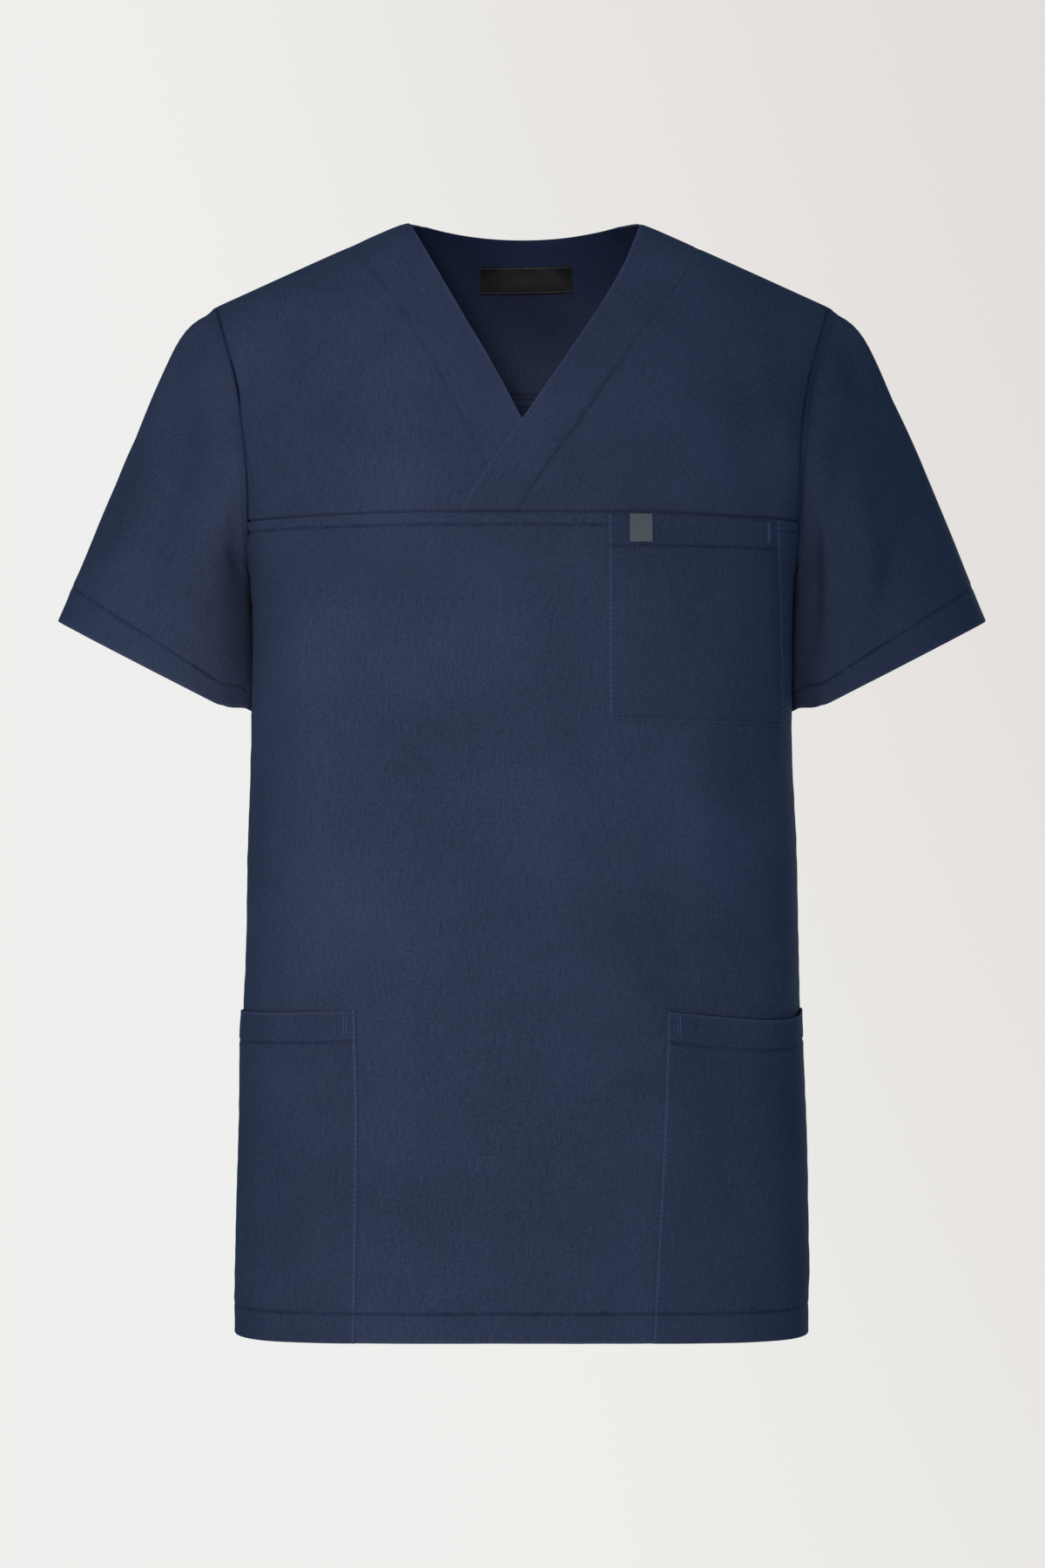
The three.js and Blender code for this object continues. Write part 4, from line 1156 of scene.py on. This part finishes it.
# Geometry Nodes: a thread laid at even steps along every line of the mesh it is given.
def stitchNodes():
    tree = bpy.data.node_groups.new("threadAlongLine", "GeometryNodeTree")
    sockets = {}
    tree.interface.new_socket("Line", in_out="INPUT", socket_type="NodeSocketGeometry")
    kinds = {"pitch": "Float", "long": "Float", "wide": "Float", "seed": "Int", "thread": "Material"}
    for name, kind in kinds.items():
        socket = tree.interface.new_socket(name, in_out="INPUT", socket_type="NodeSocket" + kind)
        sockets[name] = socket.identifier
    tree.interface.new_socket("Threads", in_out="OUTPUT", socket_type="NodeSocketGeometry")
    given = addNode(tree, "NodeGroupInput", (-1200, 0))
    line = addNode(tree, "GeometryNodeMeshToCurve", (-1000, 0), {0: given.outputs["Line"]})
    points = addNode(tree, "GeometryNodeCurveToPoints", (-800, 0),
                     {"Curve": line.outputs[0], "Length": given.outputs["pitch"]}, mode="LENGTH")
    along = addNode(tree, "FunctionNodeAlignRotationToVector", (-600, -200),
                    {"Vector": points.outputs["Tangent"]}, axis="X")
    ball = addNode(tree, "GeometryNodeMeshUVSphere", (-800, 250),
                   {"Segments": 8, "Rings": 5, "Radius": 0.5})
    uneven = addNode(tree, "FunctionNodeRandomValue", (-800, -350),
                     {2: 0.86, 3: 1.1, "Seed": given.outputs["seed"]}, data_type="FLOAT")
    length = addNode(tree, "ShaderNodeMath", (-600, -400),
                     {0: given.outputs["long"], 1: uneven.outputs[1]}, operation="MULTIPLY")
    size = addNode(tree, "ShaderNodeCombineXYZ", (-400, -350),
                   {"X": length.outputs[0], "Y": given.outputs["wide"], "Z": given.outputs["wide"]})
    laid = addNode(tree, "GeometryNodeInstanceOnPoints", (-200, 0),
                   {"Points": points.outputs["Points"], "Instance": ball.outputs["Mesh"],
                    "Rotation": along.outputs[0], "Scale": size.outputs[0]})
    real = addNode(tree, "GeometryNodeRealizeInstances", (0, 0), {0: laid.outputs[0]})
    soft = addNode(tree, "GeometryNodeSetShadeSmooth", (200, 0), {0: real.outputs[0]})
    dyed = addNode(tree, "GeometryNodeSetMaterial", (400, 0),
                   {"Geometry": soft.outputs[0], "Material": given.outputs["thread"]})
    addNode(tree, "NodeGroupOutput", (600, 0), {0: dyed.outputs[0]})
    return tree, sockets


stitchTree, stitchSockets = stitchNodes()


sewing = {}
surfaces = {}


# Lays threads along the given lines, each an array of points in millimetres.
def sewLines(name, lines, thread, pitch=lockstitch["pitch"], long=lockstitch["long"],
             wide=lockstitch["wide"]):
    points = np.concatenate(lines) * mm
    edges = []
    offset = 0
    for line in lines:
        edges += [(offset + k, offset + k + 1) for k in range(len(line) - 1)]
        offset += len(line)
    guide = bpy.data.meshes.new(name + "Guide")
    guide.from_pydata(points.tolist(), edges, [])
    carrier = bpy.data.objects.new(name, guide)
    bpy.context.scene.collection.objects.link(carrier)
    modifier = carrier.modifiers.new("threads", "NODES")
    modifier.node_group = stitchTree
    modifier[stitchSockets["pitch"]] = pitch * mm
    modifier[stitchSockets["long"]] = long * mm
    modifier[stitchSockets["wide"]] = wide * mm
    modifier[stitchSockets["seed"]] = lockstitch["seed"]
    modifier[stitchSockets["thread"]] = thread
    bpy.context.view_layer.update()
    evaluated = carrier.evaluated_get(bpy.context.evaluated_depsgraph_get())
    threads = bpy.data.meshes.new_from_object(evaluated)
    threads.name = name
    carrier.modifiers.remove(modifier)
    carrier.data = threads
    if not threads.materials:
        threads.materials.append(thread)
    bpy.data.meshes.remove(guide)
    sewing[name] = carrier


# Where a line seen from outside meets a made piece: each point comes down along its normal.
def onPiece(piece, points, normals, sink=lockstitch["sink"], high=25):
    if piece.name not in surfaces:
        surfaces[piece.name] = BVHTree.FromObject(piece, bpy.context.evaluated_depsgraph_get())
    laid = []
    for point, normal in zip(points, normals):
        start = Vector((point + normal * high) * mm)
        hit = surfaces[piece.name].ray_cast(start, Vector(-normal), 2 * high * mm)[0]
        if hit is not None:
            laid.append(np.array(hit) / mm - normal * sink)
    return np.array(laid)


def bodyLine(face, xs, drops):
    turn = turnAt(face, xs, drops)
    level = levelAt(drops)
    return bodyPoint(face, turn, level), bodyNormal(face, turn, level)


def sewOn(piece, face, xs, drops, steps=120):
    k = np.linspace(0, 1, steps)
    stops = np.linspace(0, 1, len(xs))
    return onPiece(piece, *bodyLine(face, np.interp(k, stops, xs), np.interp(k, stops, drops)))


# A row that follows a panel from side seam to side seam, given by its share of the turn.
def sewRound(piece, face, drop, reach, steps=260):
    turn = np.linspace(-reach, reach, steps)
    level = levelAt(np.full(steps, float(drop)))
    return onPiece(piece, bodyPoint(face, turn, level), bodyNormal(face, turn, level))


# A row beside a seam, from armhole to armhole.
def seamRow(piece, face, drop):
    return sewRound(piece, face, drop, float(armholeTurn(face, drop)) - rowEnd)


def cuffRow(piece, row, normals):
    return onPiece(piece, np.append(row, row[:1], 0), np.append(normals, normals[:1], 0), high=8)


# A row beside a hip pocket's folded inner edge.
def hipEdge(piece, side, start):
    xs = [side * (x + edgeRow) for x in hipPockets[side]["inner"]["x"]]
    return sewOn(piece, front, xs, [start, 600, 743])


def labelRow(drop):
    ends = (neckLabel["left"] + labelStitch["sideIn"], neckLabel["right"] - labelStitch["sideIn"])
    point, normal = bodyLine(back, np.linspace(*ends, 60), np.linspace(drop + 0.45, drop - 0.45, 60))
    return onPiece(labelPiece, point, -normal)


def bandRow(piece, seam, start, stop, inset):
    drops = np.linspace(start, stop, 160)
    return onPiece(piece, *bodyLine(front, seam(drops) + inset, drops))


hemStitch = hemRow + stitchIn
sewLines("hemStitching", [
    sewRound(frontBody, front, hemStitch, hemReach),
    sewRound(backBody, back, hemStitch, hemReach)], shadedNavyThread)
sewLines("yokeStitching", [
    seamRow(frontBody, front, frontYokeDrop + yokeRow),
    seamRow(backYoke, back, backYokeDrop - lowerBack["row"])], shadedNavyThread)
sewLines("bandStitching", [
    bandRow(bandRight, lowerSeam, 6, 172, bandIn),
    bandRow(bandLeft, upperSeam, 6, frontYokeDrop - 4, -bandIn)], shadedNavyThread)
sewLines("cuffStitching", [
    cuffRow(sleeveRight, cuffRowRight, cuffNormalRight),
    cuffRow(sleeveLeft, cuffRowLeft, cuffNormalLeft)], shadedNavyThread)

sewLines("pocketEdges", [
    sewOn(chestPiece, front, [56 + edgeRow, 56.3 + edgeRow], [206, 338 - edgeRow], 140),
    sewOn(chestPiece, front, [168.6 - edgeRow, 172 - edgeRow], [206, 343 - edgeRow], 140),
    hipEdge(hipRight, -1, 529),
    hipEdge(hipLeft, 1, 529.5)], highlitNavyThread)
sewLines("pocketStitching", [
    sewOn(chestPiece, front, [56.3 + edgeRow, 172 - edgeRow], [338 - edgeRow, 343 - edgeRow], 140),
    sewOn(chestPiece, front, [57.5, 168], [205.2 + pocketHem, 205.2 + pocketHem + 0.4]),
    sewOn(chestPiece, front, [56 + edgeRow + 5.6, 56 + edgeRow + 5.6], [206, 205 + pocketHem], 40),
    sewOn(hipRight, front, [-109, -150, -178], [548.2, 549.5, 551.6]),
    sewRound(hipRight, front, hemStitch, hemReach),
    sewOn(hipLeft, front, [95, 115, 135, 155, 170, 179], [549, 551.8, 554.6, 556, 554.6, 551.8]),
    sewRound(hipLeft, front, hemStitch, hemReach)], shadedNavyThread)


# A bar tack: short threads packed side by side across a line.
def tackLine(piece, x, top, bottom):
    count = int((bottom - top) / barTack["pitch"])
    drops = np.linspace(top, bottom, count)
    xs = x + barTack["wide"] / 2 * np.where(np.arange(count) % 2, 1, -1)
    return onPiece(piece, *bodyLine(front, xs, drops), sink=barTack["sink"])


sewLines("barTacks", [
    tackLine(chestPiece, 160.2, 206.5, 221),
    tackLine(hipRight, -115, 530.5, 542.5),
    tackLine(hipLeft, 101.8, 531.5, 543)], highlitNavyThread,
    pitch=math.hypot(barTack["wide"], barTack["pitch"]), long=1.5, wide=barTack["thread"])
sewLines("labelStitching", [
    labelRow(neckLabel["top"] + labelStitch["topIn"]),
    labelRow(neckLabel["bottom"] - labelStitch["bottomIn"])], labelThread,
    pitch=labelStitch["pitch"], long=labelStitch["long"], wide=labelStitch["wide"])

# Flat size and area of each piece's cut, in metres.
cuts = {
    "frontYokeRight": ("front_yoke_right", "twill", (0.20, 0.24), 0.0295),
    "frontYokeLeft": ("front_yoke_left", "twill", (0.20, 0.24), 0.0287),
    "neckbandRight": ("neckband_right", "twill", (0.036, 0.275), 0.0088),
    "neckbandLeft": ("neckband_left", "twill", (0.036, 0.30), 0.0098),
    "lowerFront": ("front_body", "twill", (0.515, 0.545), 0.279),
    "backYoke": ("back_yoke", "twill", (0.414, 0.15), 0.0554),
    "lowerBack": ("back_body", "twill", (0.507, 0.632), 0.318),
    "sleeveRight": ("sleeve_right", "twill", (0.48, 0.24), 0.0608),
    "sleeveLeft": ("sleeve_left", "twill", (0.48, 0.24), 0.0608),
    "chestPocket": ("chest_pocket", "pocket_twill", (0.131, 0.138), 0.0179),
    "hipPocketRight": ("hip_pocket_right", "pocket_twill", (0.165, 0.216), 0.0352),
    "hipPocketLeft": ("hip_pocket_left", "pocket_twill", (0.18, 0.216), 0.0385),
    "neckLabel": ("neck_label", "label_black", (0.0665, 0.0205), 0.00135),
    "pocketLabel": ("pocket_label", "label_grey", (0.0157, 0.0188), 0.00029)
}
for name, piece in sewing.items():
    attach(piece, "root")
for name, (node, slot, flat, area) in cuts.items():
    piece = bpy.data.objects[name]
    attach(piece, "root")
    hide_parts(node)

print("stage and lights")
stage = {
    "floor": -1600, "flat": 4800, "bend": 2400, "top": 9000,      # mm, a bowl that goes right round
    "bendSteps": 24, "sides": 96,
    # painted falloff of light on the glowing cove: paler on the left, darker on the right
    "left": "#efefed", "right": "#e3dedb", "from": -900, "to": 1700, "slant": 0.35
}


# A plain pale studio cove, floor and wall in one, glowing by itself, with a painted falloff of light from
# left to right where lamps would shade it. Only the camera sees it; the light that it would throw back
# comes from the studio's air.
def makeCove():
    material, tree = newMaterial("glowingCovePaintedFalloff")
    where = addNode(tree, "ShaderNodeTexCoord", (-900, 0))
    parts = addNode(tree, "ShaderNodeSeparateXYZ", (-700, 0), {0: where.outputs["Object"]})
    rise = addNode(tree, "ShaderNodeMath", (-500, -100),
                   {0: parts.outputs["Z"], 1: stage["slant"]}, operation="MULTIPLY")
    slant = addNode(tree, "ShaderNodeMath", (-300, 0), {0: parts.outputs["X"], 1: rise.outputs[0]})
    share = addNode(tree, "ShaderNodeMapRange", (-100, 0),
                    {"Value": slant.outputs[0], "From Min": stage["from"] * mm,
                     "From Max": stage["to"] * mm},
                    interpolation_type="SMOOTHSTEP")
    # Painted falloff of light, from the left colour to the right one.
    paintedFalloff = addNode(tree, "ShaderNodeMix", (150, 0),
                    {0: share.outputs[0], 6: linear(stage["left"]), 7: linear(stage["right"])},
                    data_type="RGBA")
    finishMaterial(tree, addNode(tree, "ShaderNodeEmission", (450, 0), {"Color": paintedFalloff.outputs[2]}))
    profile = [(0, stage["floor"])]
    for k in range(stage["bendSteps"] + 1):
        angle = math.pi / 2 * k / stage["bendSteps"]
        profile.append((stage["flat"] + stage["bend"] * math.sin(angle),
                        stage["floor"] + stage["bend"] * (1 - math.cos(angle))))
    profile.append((stage["flat"] + stage["bend"], stage["top"]))
    count = len(profile)
    sides = stage["sides"]
    points = []
    for k in range(sides):
        angle = 2 * math.pi * k / sides
        points += [(r * math.cos(angle) * mm, r * math.sin(angle) * mm, z * mm) for r, z in profile]
    faces = []
    for k in range(sides):
        this, other = k * count, (k + 1) % sides * count
        faces += [(this + j, other + j, other + j + 1, this + j + 1) for j in range(1, count - 1)]
        faces.append((0, other + 1, this + 1))
    mesh = bpy.data.meshes.new("studioCove")
    mesh.from_pydata(points, [], faces)
    mesh.polygons.foreach_set("use_smooth", [True] * len(faces))
    mesh.materials.append(material)
    cove = bpy.data.objects.new("studioCove", mesh)
    bpy.context.scene.collection.objects.link(cove)
    cove.visible_diffuse = False
    cove.visible_glossy = False
    cove.visible_shadow = False


def addLight(name, place, aim, size, watts, colour, spread=180):
    data = bpy.data.lights.new(name, "AREA")
    data.shape = "RECTANGLE"
    data.size, data.size_y = size
    data.energy = watts
    data.color = colour
    data.spread = math.radians(spread)
    light = bpy.data.objects.new(name, data)
    light.location = place
    light.rotation_euler = (Vector(aim) - Vector(place)).to_track_quat("-Z", "Y").to_euler()
    light.visible_camera = False
    bpy.context.scene.collection.objects.link(light)


# Two tall gridded softboxes, one beside the camera and one to the left, fall off to the viewer's
# right; the back one models the garment from behind.
makeCove()
addLight("frontSoftbox", (-0.25, -3.4, -0.36), (-0.11, 0, -0.31), (0.5, 1.5), 2.2, (1, 0.92, 0.87), 20)
addLight("keySoftbox", (-1.6, -2.9, -0.36), (-0.2, 0, -0.31), (0.5, 1.5), 0.75, (1, 0.9, 0.84), 20)
addLight("backSoftbox", (1.9, 2.9, 0.1), (0, 0, -0.3), (1.8, 1.8), 14, (1, 0.96, 0.93))
air = {"colour": "#aedfff", "strength": 0.38}
world = bpy.data.worlds.new("studioAir")
world.use_nodes = True
world.node_tree.nodes["Background"].inputs["Color"].default_value = linear(air["colour"])
world.node_tree.nodes["Background"].inputs["Strength"].default_value = air["strength"]
bpy.context.scene.world = world

print("done")
